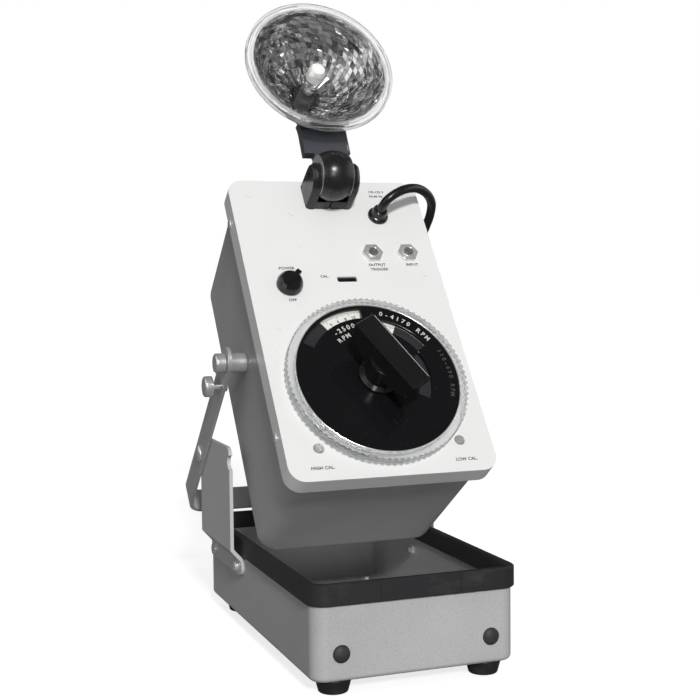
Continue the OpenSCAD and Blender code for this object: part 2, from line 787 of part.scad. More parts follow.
module dial_mask() {
    color([0.04, 0.04, 0.05]) instrument() translate([0, dial_s, mask_h - mask_t])
        linear_extrude(mask_t) difference() {
            circle(r = mask_r);
            circle(r = bush_out - 1 + fit);
            for (i = [0:2]) arc_slot(window_r[i], window_w[i], window_from[i], window_span - 2);
        }
}

module jack(x) {
    color([0.55, 0.55, 0.56]) instrument() translate([x, jack_s, 0]) difference() {
        union() {
            translate([0, 0, -jack_depth - 2]) cylinder(r = jack_r + 3, h = jack_depth + 2 - panel_t);
            translate([0, 0, -panel_t - 0.1]) cylinder(r = jack_r + 1.5, h = panel_t + 3.4);
        }
        translate([0, 0, -jack_depth]) cylinder(r = jack_r, h = jack_depth + 5);
    }
}

module output_jack() jack(jack_x1);

module input_jack() jack(jack_x2);

module jack_nuts() {
    color([0.8, 0.8, 0.8]) instrument() for (x = [jack_x1, jack_x2]) translate([x, jack_s, 0])
        difference() {
            cylinder(r = nut_af / sqrt(3), h = 2.2, $fn = 6);
            translate([0, 0, -1]) cylinder(r = jack_r + 1.5 + fit, h = 5);
        }
}

module power_switch() {
    color([0.3, 0.3, 0.3]) instrument() translate([power_x, power_s, 0]) difference() {
        union() {
            translate([0, 0, -26]) cylinder(r = 11, h = 26 - panel_t);
            translate([0, 0, -panel_t - 0.1]) cylinder(r = 3.1, h = panel_t + 0.3);
        }
        translate([0, 0, -20]) cylinder(r = 1.6, h = 30);
    }
}

module cord_bush() {
    color([0.05, 0.05, 0.05]) instrument() translate([bush_x, bush_s, 0]) rotate_extrude() polygon([
        [cord_r + fit, -6], [bush_r - 0.4, -6], [bush_r - 0.4, -panel_t - 0.1],
        [bush_r - 1.6, -panel_t - 0.1], [bush_r - 1.6, 0.05], [bush_r, 0.05], [bush_r, 1.6],
        [bush_r - 0.9, 2.6], [bush_r - 1.7, 3], [bush_r - 2.2, 7], [bush_r - 3, 7.5],
        [cord_r + fit, 7.5]
    ]);
}

module cal_window() {
    color([0.1, 0.1, 0.1]) instrument() translate([0, window_slot_s, 0]) difference() {
        translate([0, 0, -8]) linear_extrude(8 - panel_t - 0.05) rounded(20, 11, 2);
        translate([0, 0, -7]) linear_extrude(8) rounded(13.5, 4.2, 1);
        for (y = [-1, 1]) translate([0, y * 7.2, 0]) cylinder(r = 1, h = 4, center = true);
    }
}

module cal_reed() {
    color([0.8, 0.8, 0.8]) instrument() translate([0, window_slot_s, -5]) {
        translate([-6.6, -0.9, 0]) cube([11, 1.8, 0.4]);
        translate([-6.6, -1.4, -1.95]) cube([3, 2.8, 2.4]);
    }
}

module rpm_hub() {
    color([0.75, 0.7, 0.45]) instrument() translate([0, dial_s, 3 - plate_depth]) {
        tube_z(hub_out, bush_out + fit, plate_depth - 3 + web_h + web_t + disc_t);
        translate([0, 0, plate_depth - 3 - 1]) tube_z(hub_out + 0.3, bush_out + fit, 1);
    }
}

module rpm_dial() {
    step = 360 / flutes;
    groove = 0.8;
    color([0.85, 0.87, 0.86, 0.5]) instrument() translate([0, dial_s, web_h]) difference() {
        linear_extrude(ring_h - web_h) polygon([
            for (i = [0:flutes - 1], k = [[0, 0], [0.3, 0], [0.5, groove], [0.8, groove]])
                (dial_r - k[1]) * [cos(step * (i + k[0])), sin(step * (i + k[0]))]
        ]);
        translate([0, 0, web_t]) cylinder(r = mask_r + 0.4, h = ring_h);
        translate([0, 0, -1]) cylinder(r = hub_out + fit, h = ring_h);
    }
}

module scale_disc() {
    color([0.9, 0.88, 0.78]) instrument() translate([0, dial_s, web_h + web_t])
        tube_z(mask_r - 0.6, hub_out + fit, disc_t);
}

module range_knob() {
    under = bar_h - 13;
    color([0.04, 0.04, 0.04]) instrument() translate([0, dial_s, mask_h]) difference() {
        union() {
            translate([0, 0, 1]) rotate_extrude() polygon([
                [0, 0], [hub_r + 3, 0], [hub_r + 3, 1.2], [hub_r + 0.6, 3], [hub_r, under - mask_h],
                [0, under - mask_h]
            ]);
            rotate(bar_angle) translate([0, 0, under - mask_h]) rotate([90, 0, 0])
                linear_extrude(bar_w, center = true) polygon([
                    [-bar_l / 2 + 2, 0], [-hub_r, -6], [hub_r, -6], [bar_l / 2 - 2, 0],
                    [bar_l / 2, 12], [bar_l / 2 - 1, bar_h - under], [-bar_l / 2 + 1, bar_h - under],
                    [-bar_l / 2, 12]
                ]);
        }
        translate([0, 0, -1]) cylinder(r = spindle_r + fit, h = 20);
    }
}

module range_spindle() {
    color([0.7, 0.7, 0.7]) instrument() translate([0, dial_s, -switch_depth - 2])
        cylinder(r = spindle_r, h = switch_depth + 2 + mask_h + 18.9);
}

module power_knob() {
    color([0.04, 0.04, 0.04]) instrument() translate([power_x, power_s, 0]) {
        translate([0, 0, 0.6]) rotate_extrude() polygon([
            [0, 0], [power_r, 0], [power_r, 2.2], [power_r - 0.9, 5.2], [power_r - 2.4, power_h - 2.4],
            [0, power_h - 2]
        ]);
        rotate(42) translate([0, 0, power_h / 2]) cube([2 * power_r - 1, 3.4, power_h - 0.6], center = true);
        translate([0, 0, -15]) cylinder(r = 1.5, h = 16);
    }
}

module trimmer() {
    difference() {
        union() {
            translate([0, 0, -4]) cylinder(r = trimmer_r, h = 4.6);
            translate([0, 0, -10]) cylinder(r = 1.6, h = 7);
        }
        translate([-trimmer_r - 1, -0.45, -0.7]) cube([2 * trimmer_r + 2, 0.9, 3]);
    }
}

module trimmer_high() {
    color([0.7, 0.7, 0.68]) instrument() translate([-trimmer_x, trimmer_s, 0]) rotate(70) trimmer();
}

module trimmer_low() {
    color([0.7, 0.7, 0.68]) instrument() translate([trimmer_x, trimmer_s, 0]) rotate(10) trimmer();
}

module trimmer_pots() {
    color([0.2, 0.3, 0.5]) instrument() for (x = [-1, 1]) translate([x * trimmer_x, trimmer_s, -16])
        difference() {
            union() {
                cylinder(r = 7, h = 9.5);
                for (a = [0, 180]) rotate(a) translate([5.4, 0, 0])
                    cylinder(r = 1.2, h = 16 - panel_t - 0.05);
            }
            translate([0, 0, 3]) cylinder(r = 1.65, h = 20);
        }
}

module lamp_clevis() {
    block_w = 2 * cheek_out;
    s0 = pivot_s - 13;
    s1 = pivot_s + 6;
    color([0.05, 0.05, 0.05]) instrument() difference() {
        union() {
            translate([0, 0, 0.05]) linear_extrude(8) polygon([
                [-cheek_out + 3, s0], [cheek_out - 3, s0], [cheek_out, s0 + 8], [cheek_out, s1],
                [-cheek_out, s1], [-cheek_out, s0 + 8]
            ]);
            translate([-block_w / 2, pivot_s - cheek_drop[0], pivot_h - cheek_drop[1]])
                rotate([0, 90, 0]) cylinder(r = cheek_r, h = block_w);
        }
        translate([0, pivot_s, pivot_h]) rotate([0, 90, 0]) {
            cylinder(r = ball_r + seat, h = ball_w + 2 * seat, center = true);
            cylinder(r = lamp_pin_r, h = block_w + 2, center = true);
        }
        translate([-cheek_out - 1, 0, -20]) cube([block_w + 2, 2 * panel_l, 20]);
        translate([-0.5, s0 - 1, -1]) cube([1, 3, 20]);
    }
}

module lamp_pivot_pin() {
    color([0.3, 0.3, 0.3]) lamp() along_x(lamp_pin_r - 0.02, -cheek_out, cheek_out);
}

module lamp_knuckle() {
    color([0.05, 0.05, 0.05]) lamp() difference() {
        intersection() {
            rotate([0, 90, 0]) rotate_extrude() difference() {
                circle(r = ball_r);
                translate([-ball_r - 1, -ball_r - 1]) square([ball_r + 1, 2 * ball_r + 2]);
                for (y = [-1, 1]) translate([ball_r - 2.6, y * (ball_w / 2 - 1.6)]) circle(r = 0.4);
            }
            cube([ball_w, 2 * ball_r + 2, 2 * ball_r + 2], center = true);
        }
        along_x(lamp_pin_r + fit, -ball_w, ball_w);
    }
}

// The arm leaves the knuckle, rises as a flat plate and turns back behind the bowl
module lamp_arm() {
    neck_w = ball_w - 1;
    rise = 32;
    behind = socket_base - 3.05;
    color([0.22, 0.24, 0.28]) lamp() {
        difference() {
            translate([-neck_w / 2, 0, arm_face - arm_t]) cube([neck_w, arm_clear + 1, arm_t]);
            rotate([0, 90, 0]) cylinder(r = ball_r + 0.02, h = 2 * ball_w, center = true);
        }
        rotate([90, 0, 90]) linear_extrude(arm_w, center = true) polygon([
            [arm_clear, arm_face - arm_t], [arm_clear, arm_face], [rise, arm_face],
            [rise + 3, arm_face - 0.6], [rise + 6, arm_face - 3], [arm_len - socket_r, behind + 3],
            [arm_len + socket_r, behind + 3], [arm_len + socket_r, behind], [arm_len + 8, behind - 4],
            [arm_len - socket_r + 2, behind - 4], [rise + 1, arm_face - arm_t - 3],
            [rise - 3, arm_face - arm_t]
        ]);
    }
}

module lamp_socket() {
    neck = socket_l + seat + bowl_t + 4;
    color([0.1, 0.1, 0.11]) lamp() translate([0, arm_len, socket_base]) difference() {
        union() {
            cylinder(r = socket_r, h = socket_l);
            cylinder(r = bowl_hole_r - fit, h = neck);
        }
        translate([0, 0, 6]) cylinder(r = tube_r + fit, h = neck);
    }
}

module flash_tube() {
    top = head_h - 9;
    base = socket_base + 6.2;
    color([0.9, 0.92, 0.92, 0.4]) lamp() translate([0, arm_len, base]) {
        cylinder(r = tube_r, h = top - base);
        translate([0, 0, top - base]) sphere(r = tube_r);
    }
}

module tube_cap() {
    color([0.95, 0.95, 0.93]) lamp() translate([0, arm_len, head_h - 14]) rotate_extrude() difference() {
        polygon([[0, 0], [tube_r + 1.4, 0], [tube_r + 1.4, 7], [tube_r, 10.5], [0, 11.5]]);
        square([2 * (tube_r + fit), 10], center = true);
        translate([0, 5]) circle(r = tube_r + fit);
    }
}

// A paraboloid bowl: the square of its radius falls steadily from the mouth (u = 0)
// to the hole in its back (u = 1)
function bowl_at(u, extra) =
    [sqrt(pow(bowl_r, 2) * (1 - u) + pow(bowl_hole_r + fit, 2) * u) + extra, -bowl_back * u];

function bowl_inner(ring, seg) =
    let (
        p = bowl_at(ring / facet_rings, 0),
        turn = 360 / facets * (seg + (ring % 2) / 2),
        dent = (ring > 0 && ring < facet_rings) ? 0.5 * (ring % 2) : 0
    )
    [(p[0] - dent) * cos(turn), (p[0] - dent) * sin(turn), p[1]];

function bowl_outer(ring, seg) =
    let (p = bowl_at(ring / facet_rings, bowl_t), turn = 360 / facets * (seg + (ring % 2) / 2))
    [p[0] * cos(turn), p[0] * sin(turn), p[1] - (ring > 0 ? bowl_t : 0)];

module reflector() {
    n = facets;
    inner = [for (k = [0:facet_rings], i = [0:n - 1]) bowl_inner(k, i)];
    outer = [for (k = [0:facet_rings], i = [0:n - 1]) bowl_outer(k, i)];
    off = len(inner);
    function at(k, i) = k * n + (i + n) % n;
    // Triangles between two rings, the upper or the lower one turned by half a step
    function band(k, i) = (k % 2 == 0)
        ? [[at(k, i), at(k, i + 1), at(k + 1, i)], [at(k, i + 1), at(k + 1, i + 1), at(k + 1, i)]]
        : [[at(k, i), at(k + 1, i + 1), at(k + 1, i)], [at(k, i), at(k, i + 1), at(k + 1, i + 1)]];
    walls = [for (k = [0:facet_rings - 1], i = [0:n - 1], t = band(k, i)) t];
    back = facet_rings;
    color([0.85, 0.86, 0.87]) lamp() translate([0, arm_len, head_h]) polyhedron(
        points = concat(inner, outer),
        faces = concat(
            [for (t = walls) [t[0], t[2], t[1]]],
            [for (t = walls) [t[0] + off, t[1] + off, t[2] + off]],
            [for (i = [0:n - 1], t = [[at(0, i), off + at(0, i + 1), off + at(0, i)],
                [at(0, i), at(0, i + 1), off + at(0, i + 1)]]) t],
            [for (i = [0:n - 1], t = [[at(back, i), off + at(back, i), off + at(back, i + 1)],
                [at(back, i), off + at(back, i + 1), at(back, i + 1)]]) t]
        )
    );
}

module lens_ring() {
    collar = bowl_r + bowl_t + 0.15;
    color([0.88, 0.9, 0.9, 0.4]) lamp() translate([0, arm_len, head_h]) rotate_extrude() polygon([
        [0, 0.6], [bowl_r - 2, 0.05], [collar, 0.05], [collar, -4], [lens_r - 1.6, -4],
        [lens_r - 1, -2.6], [lens_r, -2.2], [lens_r, 1], [lens_r - 0.8, 1.8], [bowl_r + 2, 2.4],
        [bowl_r, 1.8], [0, 2.2]
    ]);
}

function unit(v) = v / norm(v);

function cord_dir(pts, i) =
    unit(pts[min(i + 1, len(pts) - 1)] - pts[max(i - 1, 0)]);

// One ring of the cord, square to its direction
function cord_ring(pts, i, sides) =
    let (
        d = cord_dir(pts, i),
        side = unit(cross(d, abs(d.x) < 0.9 ? [1, 0, 0] : [0, 1, 0])),
        up = cross(d, side)
    )
    [for (k = [0:sides - 1]) pts[i] + cord_r * (cos(360 * k / sides) * side + sin(360 * k / sides) * up)];

// Points of a smooth curve through the route
function spline(p, n) = concat(
    [for (i = [0:len(p) - 2], k = [0:n - 1])
        let (
            t = k / n,
            a = p[max(i - 1, 0)],
            b = p[i],
            c = p[i + 1],
            d = p[min(i + 2, len(p) - 1)]
        )
        0.5 * (2 * b + (c - a) * t + (2 * a - 5 * b + 4 * c - d) * t * t
            + (3 * b - a - 3 * c + d) * t * t * t)],
    [p[len(p) - 1]]
);

// The stretch of the cord between two of its points
module cord(first, last, sides) {
    n = last - first + 1;
    polyhedron(
        points = [for (i = [first:last], q = cord_ring(cord_path, i, sides)) q],
        faces = concat(
            [[for (k = [0:sides - 1]) k]],
            [for (i = [0:n - 2], k = [0:sides - 1], t = [
                [i * sides + k, (i + 1) * sides + k, i * sides + (k + 1) % sides],
                [i * sides + (k + 1) % sides, (i + 1) * sides + k, (i + 1) * sides + (k + 1) % sides]
            ]) t],
            [[for (k = [sides - 1:-1:0]) (n - 1) * sides + k]]
        )
    );
}

module cord_upper() {
    color([0.04, 0.04, 0.04]) floor_frame() cord(0, handover, 10);
}

module cord_lower() {
    color([0.04, 0.04, 0.04]) floor_frame() cord(handover, coil_start, 10);
}

// The coil winds in along the ground, climbs a layer where it reverses and winds out
function coil_radius(t) = coil_r - coil_pitch * (t < coil_reverse ? t : 2 * coil_reverse - t);

function coil_height(t) =
    coil_z + coil_pitch * min(max((t - coil_reverse + 0.25) / 0.5, 0), 1);

coil_path = concat(
    [for (i = [0:coil_turns * coil_rings])
        let (t = i / coil_rings)
        [coil_centre.x + coil_radius(t) * cos(360 * t), coil_centre.y + coil_radius(t) * sin(360 * t),
            coil_height(t)]],
    [[coil_centre.x + coil_radius(coil_turns), coil_centre.y + plug_lead, coil_height(coil_turns)]]
);
lead_steps = 3;
lead_path = spline(concat([for (p = panel_route) from_panel(p)], hang_route, lower_route), lead_steps);
cord_path = concat(lead_path, coil_path);
handover = lead_steps * (len(panel_route) + len(hang_route) - 1);
coil_start = len(lead_path) - 1;

function sum(v, i = 0) = i < len(v) ? v[i] + sum(v, i + 1) : 0;

echo(cord_length_mm = sum([for (i = [1:len(cord_path) - 1]) norm(cord_path[i] - cord_path[i - 1])]));
echo(coil_least_gap_mm = min([
    for (i = [0:len(coil_path) - 1], j = [i + coil_rings / 2:1:len(coil_path) - 1])
        norm(coil_path[i] - coil_path[j])
]) - 2 * cord_r);

module cord_coil() {
    color([0.04, 0.04, 0.04]) floor_frame() cord(coil_start, len(cord_path) - 1, 6);
}

// Plug frame: origin where the cord enters, Z towards the blades
module plug_frame() {
    floor_frame() translate(cord_path[len(cord_path) - 1]) rotate([-90, 0, 0]) children();
}

module plug_body() {
    color([0.04, 0.04, 0.04]) plug_frame() rotate_extrude() polygon([
        [0, 0.05], [cord_r + 0.8, 0.05], [cord_r + 2.2, 14], [plug_r - 1.5, 17], [plug_r, 20],
        [plug_r, plug_l - 1], [plug_r - 1, plug_l], [0, plug_l]
    ]);
}

module plug_blades() {
    color([0.75, 0.7, 0.5]) plug_frame() {
        for (x = [-1, 1]) translate([x * blade_gap / 2 - 0.75, -5.5, plug_l + 0.05]) cube([1.5, 6.3, 16]);
        translate([0, 5, plug_l + 0.05]) cylinder(r = 2.4, h = 18);
    }
}

base_tray();
rim_gasket();
feet();
foot_screws();
foot_nuts();
front_bumpers();
bracket_left();
bracket_right();
bracket_screws();
bracket_nuts();
handle_rivets();
handle_strap();
lock_pin_left();
lock_pin_right();
case_shell();
case_studs();
stud_spacers();
front_panel();
rim_screws();
panel_screws();
chassis_bracket();
power_transformer();
filter_capacitors();
circuit_board();
dial_potentiometer();
range_switch();
dial_lamps();
dial_bush();
dial_mask();
output_jack();
input_jack();
jack_nuts();
power_switch();
cord_bush();
cal_window();
cal_reed();
rpm_hub();
rpm_dial();
scale_disc();
range_knob();
range_spindle();
power_knob();
trimmer_high();
trimmer_low();
trimmer_pots();
lamp_clevis();
lamp_pivot_pin();
lamp_knuckle();
lamp_arm();
lamp_socket();
flash_tube();
tube_cap();
reflector();
lens_ring();
cord_upper();
cord_lower();
cord_coil();
plug_body();
plug_blades();
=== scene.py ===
import json
import random
from math import atan2, cos, degrees, hypot, pi, radians, sin, sqrt

import bpy
from mathutils import Matrix, Vector


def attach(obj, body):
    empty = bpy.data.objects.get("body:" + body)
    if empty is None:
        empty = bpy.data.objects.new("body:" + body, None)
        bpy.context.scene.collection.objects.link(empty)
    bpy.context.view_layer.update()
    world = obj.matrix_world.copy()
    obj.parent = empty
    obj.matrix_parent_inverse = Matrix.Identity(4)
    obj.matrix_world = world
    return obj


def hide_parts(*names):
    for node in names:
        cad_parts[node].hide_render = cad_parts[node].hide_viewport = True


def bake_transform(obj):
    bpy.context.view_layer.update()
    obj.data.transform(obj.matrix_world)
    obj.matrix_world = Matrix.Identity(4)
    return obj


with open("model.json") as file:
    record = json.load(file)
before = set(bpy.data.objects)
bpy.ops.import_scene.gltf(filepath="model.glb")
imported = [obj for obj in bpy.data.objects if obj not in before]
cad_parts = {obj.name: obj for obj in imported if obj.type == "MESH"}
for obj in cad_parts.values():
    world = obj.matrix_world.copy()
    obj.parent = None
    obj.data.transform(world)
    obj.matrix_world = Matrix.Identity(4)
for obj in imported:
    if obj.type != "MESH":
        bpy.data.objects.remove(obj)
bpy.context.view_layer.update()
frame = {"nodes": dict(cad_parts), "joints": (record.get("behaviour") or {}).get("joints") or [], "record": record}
nodes = frame["nodes"]
slot_of = {part["node"]: part["material_slot"] for part in frame["record"]["subparts"]}
body_of = {node: body for body, group in frame["record"]["behaviour"]["bodies"].items() for node in group}
joints = {joint["name"]: joint for joint in frame["joints"]}
MM = 0.001


# ---------------------------------------------------------------- places
def place_on(origin, out, up_shift=0.0):
    """A frame with X to the right, Y up the sloping face and Z out of it."""
    out = Vector(out).normalized()
    right = Vector((1, 0, 0))
    up = out.cross(right)
    origin = Vector(origin) + up * up_shift
    return Matrix.Translation(origin) @ Matrix((right, up, out)).transposed().to_4x4()


DIAL_S = 64.5 * MM
panel_frame = place_on(joints["rpm_dial_turn"]["pos_m"], joints["rpm_dial_turn"]["axis"], -DIAL_S)
dial_frame = panel_frame @ Matrix.Translation((0, DIAL_S, 0))
HEAD_H = 16.3 * MM
head_frame = (place_on(joints["reflector_turn"]["pos_m"], joints["reflector_turn"]["axis"])
              @ Matrix.Translation((0, 0, HEAD_H)))

# ---------------------------------------------------------------- camera
camera_data = bpy.data.cameras.new("camera")
camera = bpy.data.objects.new("camera", camera_data)
bpy.context.collection.objects.link(camera)
bpy.context.scene.camera = camera
camera_data.sensor_width = 36
camera_data.lens = 66.68
camera_data.clip_end = 20
camera_right = Vector((0.93729, -0.34841, -0.00978))
camera_up = Vector((0.03116, 0.05581, 0.99795))
camera_back = Vector((-0.34715, -0.93568, 0.06317))
camera.matrix_world = (Matrix.Translation((-0.29329, -0.81305, 0.24411))
                       @ Matrix((camera_right, camera_up, camera_back)).transposed().to_4x4())


# ---------------------------------------------------------------- modelling helpers
def pick(piece):
    """Makes a piece the only one that the operators act on."""
    bpy.ops.object.select_all(action="DESELECT")
    piece.select_set(True)
    bpy.context.view_layer.objects.active = piece


def edit(piece, mode="FACE"):
    pick(piece)
    bpy.ops.object.mode_set(mode="EDIT")
    bpy.ops.mesh.select_mode(type=mode)


def done(piece, angle=35):
    """Leaves edit mode and shades the piece smooth up to an angle."""
    if bpy.context.object.mode == "EDIT":
        bpy.ops.object.mode_set(mode="OBJECT")
    pick(piece)
    if angle:
        bpy.ops.object.shade_smooth_by_angle(angle=radians(angle))
    else:
        bpy.ops.object.shade_flat()


def choose(piece, test, kind="faces"):
    """Selects what the test says yes to, by its middle and normal."""
    bpy.ops.object.mode_set(mode="OBJECT")
    mesh = piece.data
    for group in (mesh.vertices, mesh.edges, mesh.polygons):
        group.foreach_set("select", [False] * len(group))
    if kind == "faces":
        for face in mesh.polygons:
            face.select = bool(test(face.center, face.normal))
    else:
        for point in mesh.vertices:
            point.select = bool(test(point.co, point.normal))
    bpy.ops.object.mode_set(mode="EDIT")


def modify(piece, kind, **settings):
    """Adds a modifier and applies it."""
    pick(piece)
    modifier = piece.modifiers.new(kind.lower(), kind)
    for key, value in settings.items():
        setattr(modifier, key, value)
    bpy.ops.object.modifier_apply(modifier=modifier.name)


def settle(piece, frame_matrix):
    """Puts a piece's place into its mesh, with its object at the origin."""
    bpy.context.view_layer.update()
    piece.data.transform(frame_matrix @ piece.matrix_world)
    piece.matrix_world = Matrix.Identity(4)
    piece.data.update()
    return piece


def finish_piece(piece, name, finish, body=None, stands_for=(), slot=None):
    """Names a piece, gives it its finish and lets it move with its body."""
    piece.name = name
    piece.data.name = name
    for one in finish if isinstance(finish, (list, tuple)) else [finish]:
        piece.data.materials.append(one)
    if stands_for:
        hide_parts(*stands_for)
        slot = slot or slot_of[stands_for[0]]
    if body:
        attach(piece, body)
    return piece


def turned(profile, sides=64):
    """A turned piece, raised ring by ring from a circle: profile is (radius, height) from
    one end to the other. A profile that ends where it starts makes a hollow ring."""
    ring = profile[0] == profile[-1]
    radius, height = profile[0]
    bpy.ops.object.select_all(action="DESELECT")
    bpy.ops.mesh.primitive_circle_add(vertices=sides, radius=radius, location=(0, 0, height),
                                      fill_type="NOTHING")
    piece = bpy.context.object
    bpy.ops.object.transform_apply(location=True)
    edit(piece, "EDGE")
    bpy.ops.mesh.select_all(action="SELECT")
    for wide, high in profile[1:]:
        bpy.ops.mesh.extrude_region_move(TRANSFORM_OT_translate={"value": (0, 0, high - height)})
        bpy.ops.transform.resize(value=(wide / radius, wide / radius, 1), center_override=(0, 0, 0))
        radius, height = wide, high
    if ring:
        bpy.ops.mesh.select_all(action="SELECT")
        bpy.ops.mesh.remove_doubles(threshold=1e-7)
    else:
        bpy.ops.mesh.edge_face_add()
        bpy.ops.mesh.select_all(action="DESELECT")
        bpy.ops.mesh.select_non_manifold()
        bpy.ops.mesh.edge_face_add()
    bpy.ops.mesh.select_all(action="SELECT")
    bpy.ops.mesh.normals_make_consistent(inside=False)
    done(piece)
    return piece


def softened(node, edge=0.35 * MM, steps=2, angle=40, limit=32):
    """A copy of a CAD part with its flats made whole and its sharp edges rounded."""
    source = nodes[node].data
    mesh = bpy.data.meshes.new(node)
    mesh.from_pydata([point.co[:] for point in source.vertices], [],
                     [face.vertices[:] for face in source.polygons])
    piece = bpy.data.objects.new(node, mesh)
    bpy.context.collection.objects.link(piece)
    edit(piece, "VERT")
    bpy.ops.mesh.select_all(action="SELECT")
    bpy.ops.mesh.remove_doubles(threshold=3e-6)
    bpy.ops.mesh.dissolve_limited(angle_limit=radians(0.3))
    done(piece, angle)
    if edge:
        modify(piece, "BEVEL", width=edge, segments=steps, limit_method="ANGLE", angle_limit=radians(limit),
               harden_normals=False)
        done(piece, angle)
        modify(piece, "WEIGHTED_NORMAL", keep_sharp=True, weight=80)
    return piece


def dressed(node, finish, **how):
    return finish_piece(softened(node, **how), node + "_finished", finish, body_of[node], [node])


def joined(parts):
    """One piece of several."""
    bpy.ops.object.select_all(action="DESELECT")
    for part in parts:
        part.select_set(True)
    bpy.context.view_layer.objects.active = parts[0]
    bpy.ops.object.join()
    return parts[0]


# ---------------------------------------------------------------- materials
class Wire:
    """An output of a finish. Arithmetic on it adds the Math nodes."""

    def __init__(self, finish, socket):
        self.finish, self.socket = finish, socket

    def maths(self, operation, first, second):
        return self.finish.add("ShaderNodeMath", {"operation": operation}, {0: first, 1: second})

    def __add__(self, other):
        return self.maths("ADD", self, other)

    def __sub__(self, other):
        return self.maths("SUBTRACT", self, other)

    def __rsub__(self, other):
        return self.maths("SUBTRACT", other, self)

    def __mul__(self, other):
        return self.maths("MULTIPLY", self, other)

    def __truediv__(self, other):
        return self.maths("DIVIDE", self, other)

    def __rtruediv__(self, other):
        return self.maths("DIVIDE", other, self)

    def __pow__(self, other):
        return self.maths("POWER", self, other)

    def __lt__(self, other):
        return self.maths("LESS_THAN", self, other)

    def __gt__(self, other):
        return self.maths("GREATER_THAN", self, other)

    __radd__, __rmul__ = __add__, __mul__


class Finish:
    """A material built from wires."""

    def __init__(self, name):
        self.material = bpy.data.materials.new(name)
        self.material.use_nodes = True
        self.tree = self.material.node_tree
        self.tree.nodes.clear()
        self.out = self.tree.nodes.new("ShaderNodeOutputMaterial")

    def add(self, kind, settings=None, sockets=None, output=0):
        """Any node: its type, its settings, then the values or wires of its sockets."""
        node = self.tree.nodes.new(kind)
        for key, value in (settings or {}).items():
            if key == "stops":
                while len(node.color_ramp.elements) < len(value):
                    node.color_ramp.elements.new(0.5)
                for stop, (at, shade) in zip(node.color_ramp.elements, value):
                    stop.position = at
                    stop.color = (*shade, 1) if isinstance(shade, (tuple, list)) else (shade,) * 3 + (1,)
            else:
                setattr(node, key, value)
        for key, value in (sockets or {}).items():
            if isinstance(value, Wire):
                self.tree.links.new(value.socket, node.inputs[key])
            else:
                node.inputs[key].default_value = value
        return Wire(self, node.outputs[output])

    def place(self, stretch=(1, 1, 1), turn=(0, 0, 0), centre=(0, 0, 0)):
        """Object coordinates, moved, turned and stretched."""
        where = self.add("ShaderNodeTexCoord", output="Object")
        return self.add("ShaderNodeMapping", {"vector_type": "TEXTURE"},
                        {"Vector": where, "Location": centre, "Rotation": turn,
                         "Scale": [1 / s for s in stretch]})

    def noise(self, scale, detail=2.0, where=None, rough=0.5):
        return self.add("ShaderNodeTexNoise", {}, {"Vector": where or self.place(), "Scale": scale,
                                                   "Detail": detail, "Roughness": rough})

    def between(self, wire, low, high):
        """The wire's range from low to high, spread over 0 to 1."""
        return self.add("ShaderNodeMapRange", {"clamp": True},
                        {"Value": wire, "From Min": low, "From Max": high})

    def mix(self, share, first, second):
        """A colour between two."""
        colour = lambda c: c if isinstance(c, Wire) else (*c, 1)
        return self.add("ShaderNodeMix", {"data_type": "RGBA"},
                        {0: share, 6: colour(first), 7: colour(second)}, output=2)

    def bump(self, height, strength=0.2, distance=0.0001, over=None):
        sockets = {"Height": height, "Strength": strength, "Distance": distance}
        if over:
            sockets["Normal"] = over
        return self.add("ShaderNodeBump", {}, sockets)

    def shade(self, **sockets):
        """Ends the finish in a Principled shader."""
        names = {key.replace("_", " "): value for key, value in sockets.items()}
        for key in ("Base Color", "Specular Tint", "Sheen Tint", "Coat Tint", "Emission Color"):
            if key in names and not isinstance(names[key], Wire):
                names[key] = (*names[key], 1)
        surface = self.add("ShaderNodeBsdfPrincipled", {}, names)
        self.tree.links.new(surface.socket, self.out.inputs["Surface"])
        return self.material


def speckled_enamel(name, shade, specks=0.16):
    """Grey instrument enamel, sprayed with a fine dark and light fleck."""
    f = Finish(name)
    fleck = f.noise(1500, 2.5, rough=0.65)
    dark = f.between(fleck, 0.56, 0.68)
    light = f.between(fleck, 0.40, 0.30)
    cloud = f.between(f.noise(28, 3), 0.3, 0.7)
    body = f.mix(cloud, [c * 0.95 for c in shade], [c * 1.05 for c in shade])
    body = f.mix(dark * specks * 2.2, body, [c * 0.35 for c in shade])
    body = f.mix(light * specks, body, [min(1, c * 1.9) for c in shade])
    peel = f.noise(650, 2)
    return f.shade(Base_Color=body, Roughness=0.42 + 0.12 * peel, Metallic=0.0, Specular_IOR_Level=0.45,
                   Normal=f.bump(peel + fleck * 0.4, 0.25, 0.00012))


def smooth_enamel(name, shade, rough=0.3, wear=0.04):
    """Smooth sprayed enamel with a slight orange peel and faint handling marks."""
    f = Finish(name)
    cloud = f.between(f.noise(18, 4), 0.3, 0.7)
    marks = f.between(f.noise(160, 5, rough=0.7), 0.62, 0.72)
    body = f.mix(cloud, [c * (1 - wear) for c in shade], shade)
    body = f.mix(marks * 0.25, body, [c * 0.8 for c in shade])
    peel = f.noise(420, 2)
    return f.shade(Base_Color=body, Roughness=rough + 0.1 * cloud, Specular_IOR_Level=0.5,
                   Normal=f.bump(peel, 0.12, 0.0001))


def moulded_black(name, shade=(0.012, 0.012, 0.013), rough=0.16, dust=0.25):
    """Glossy black moulding or paint with a little dust and fine scratches."""
    f = Finish(name)
    haze = f.between(f.noise(40, 4), 0.35, 0.7)
    dots = f.between(f.noise(900, 1), 0.70, 0.78)
    hair = f.between(f.noise(60, 3, f.place(stretch=(14, 1.5, 5))), 0.66, 0.7)
    body = f.mix(dots * dust, shade, (0.16, 0.16, 0.15))
    return f.shade(Base_Color=body, Roughness=rough + 0.12 * haze + 0.15 * hair, Specular_IOR_Level=0.5,
                   Normal=f.bump(f.noise(300, 2), 0.06, 0.0001))


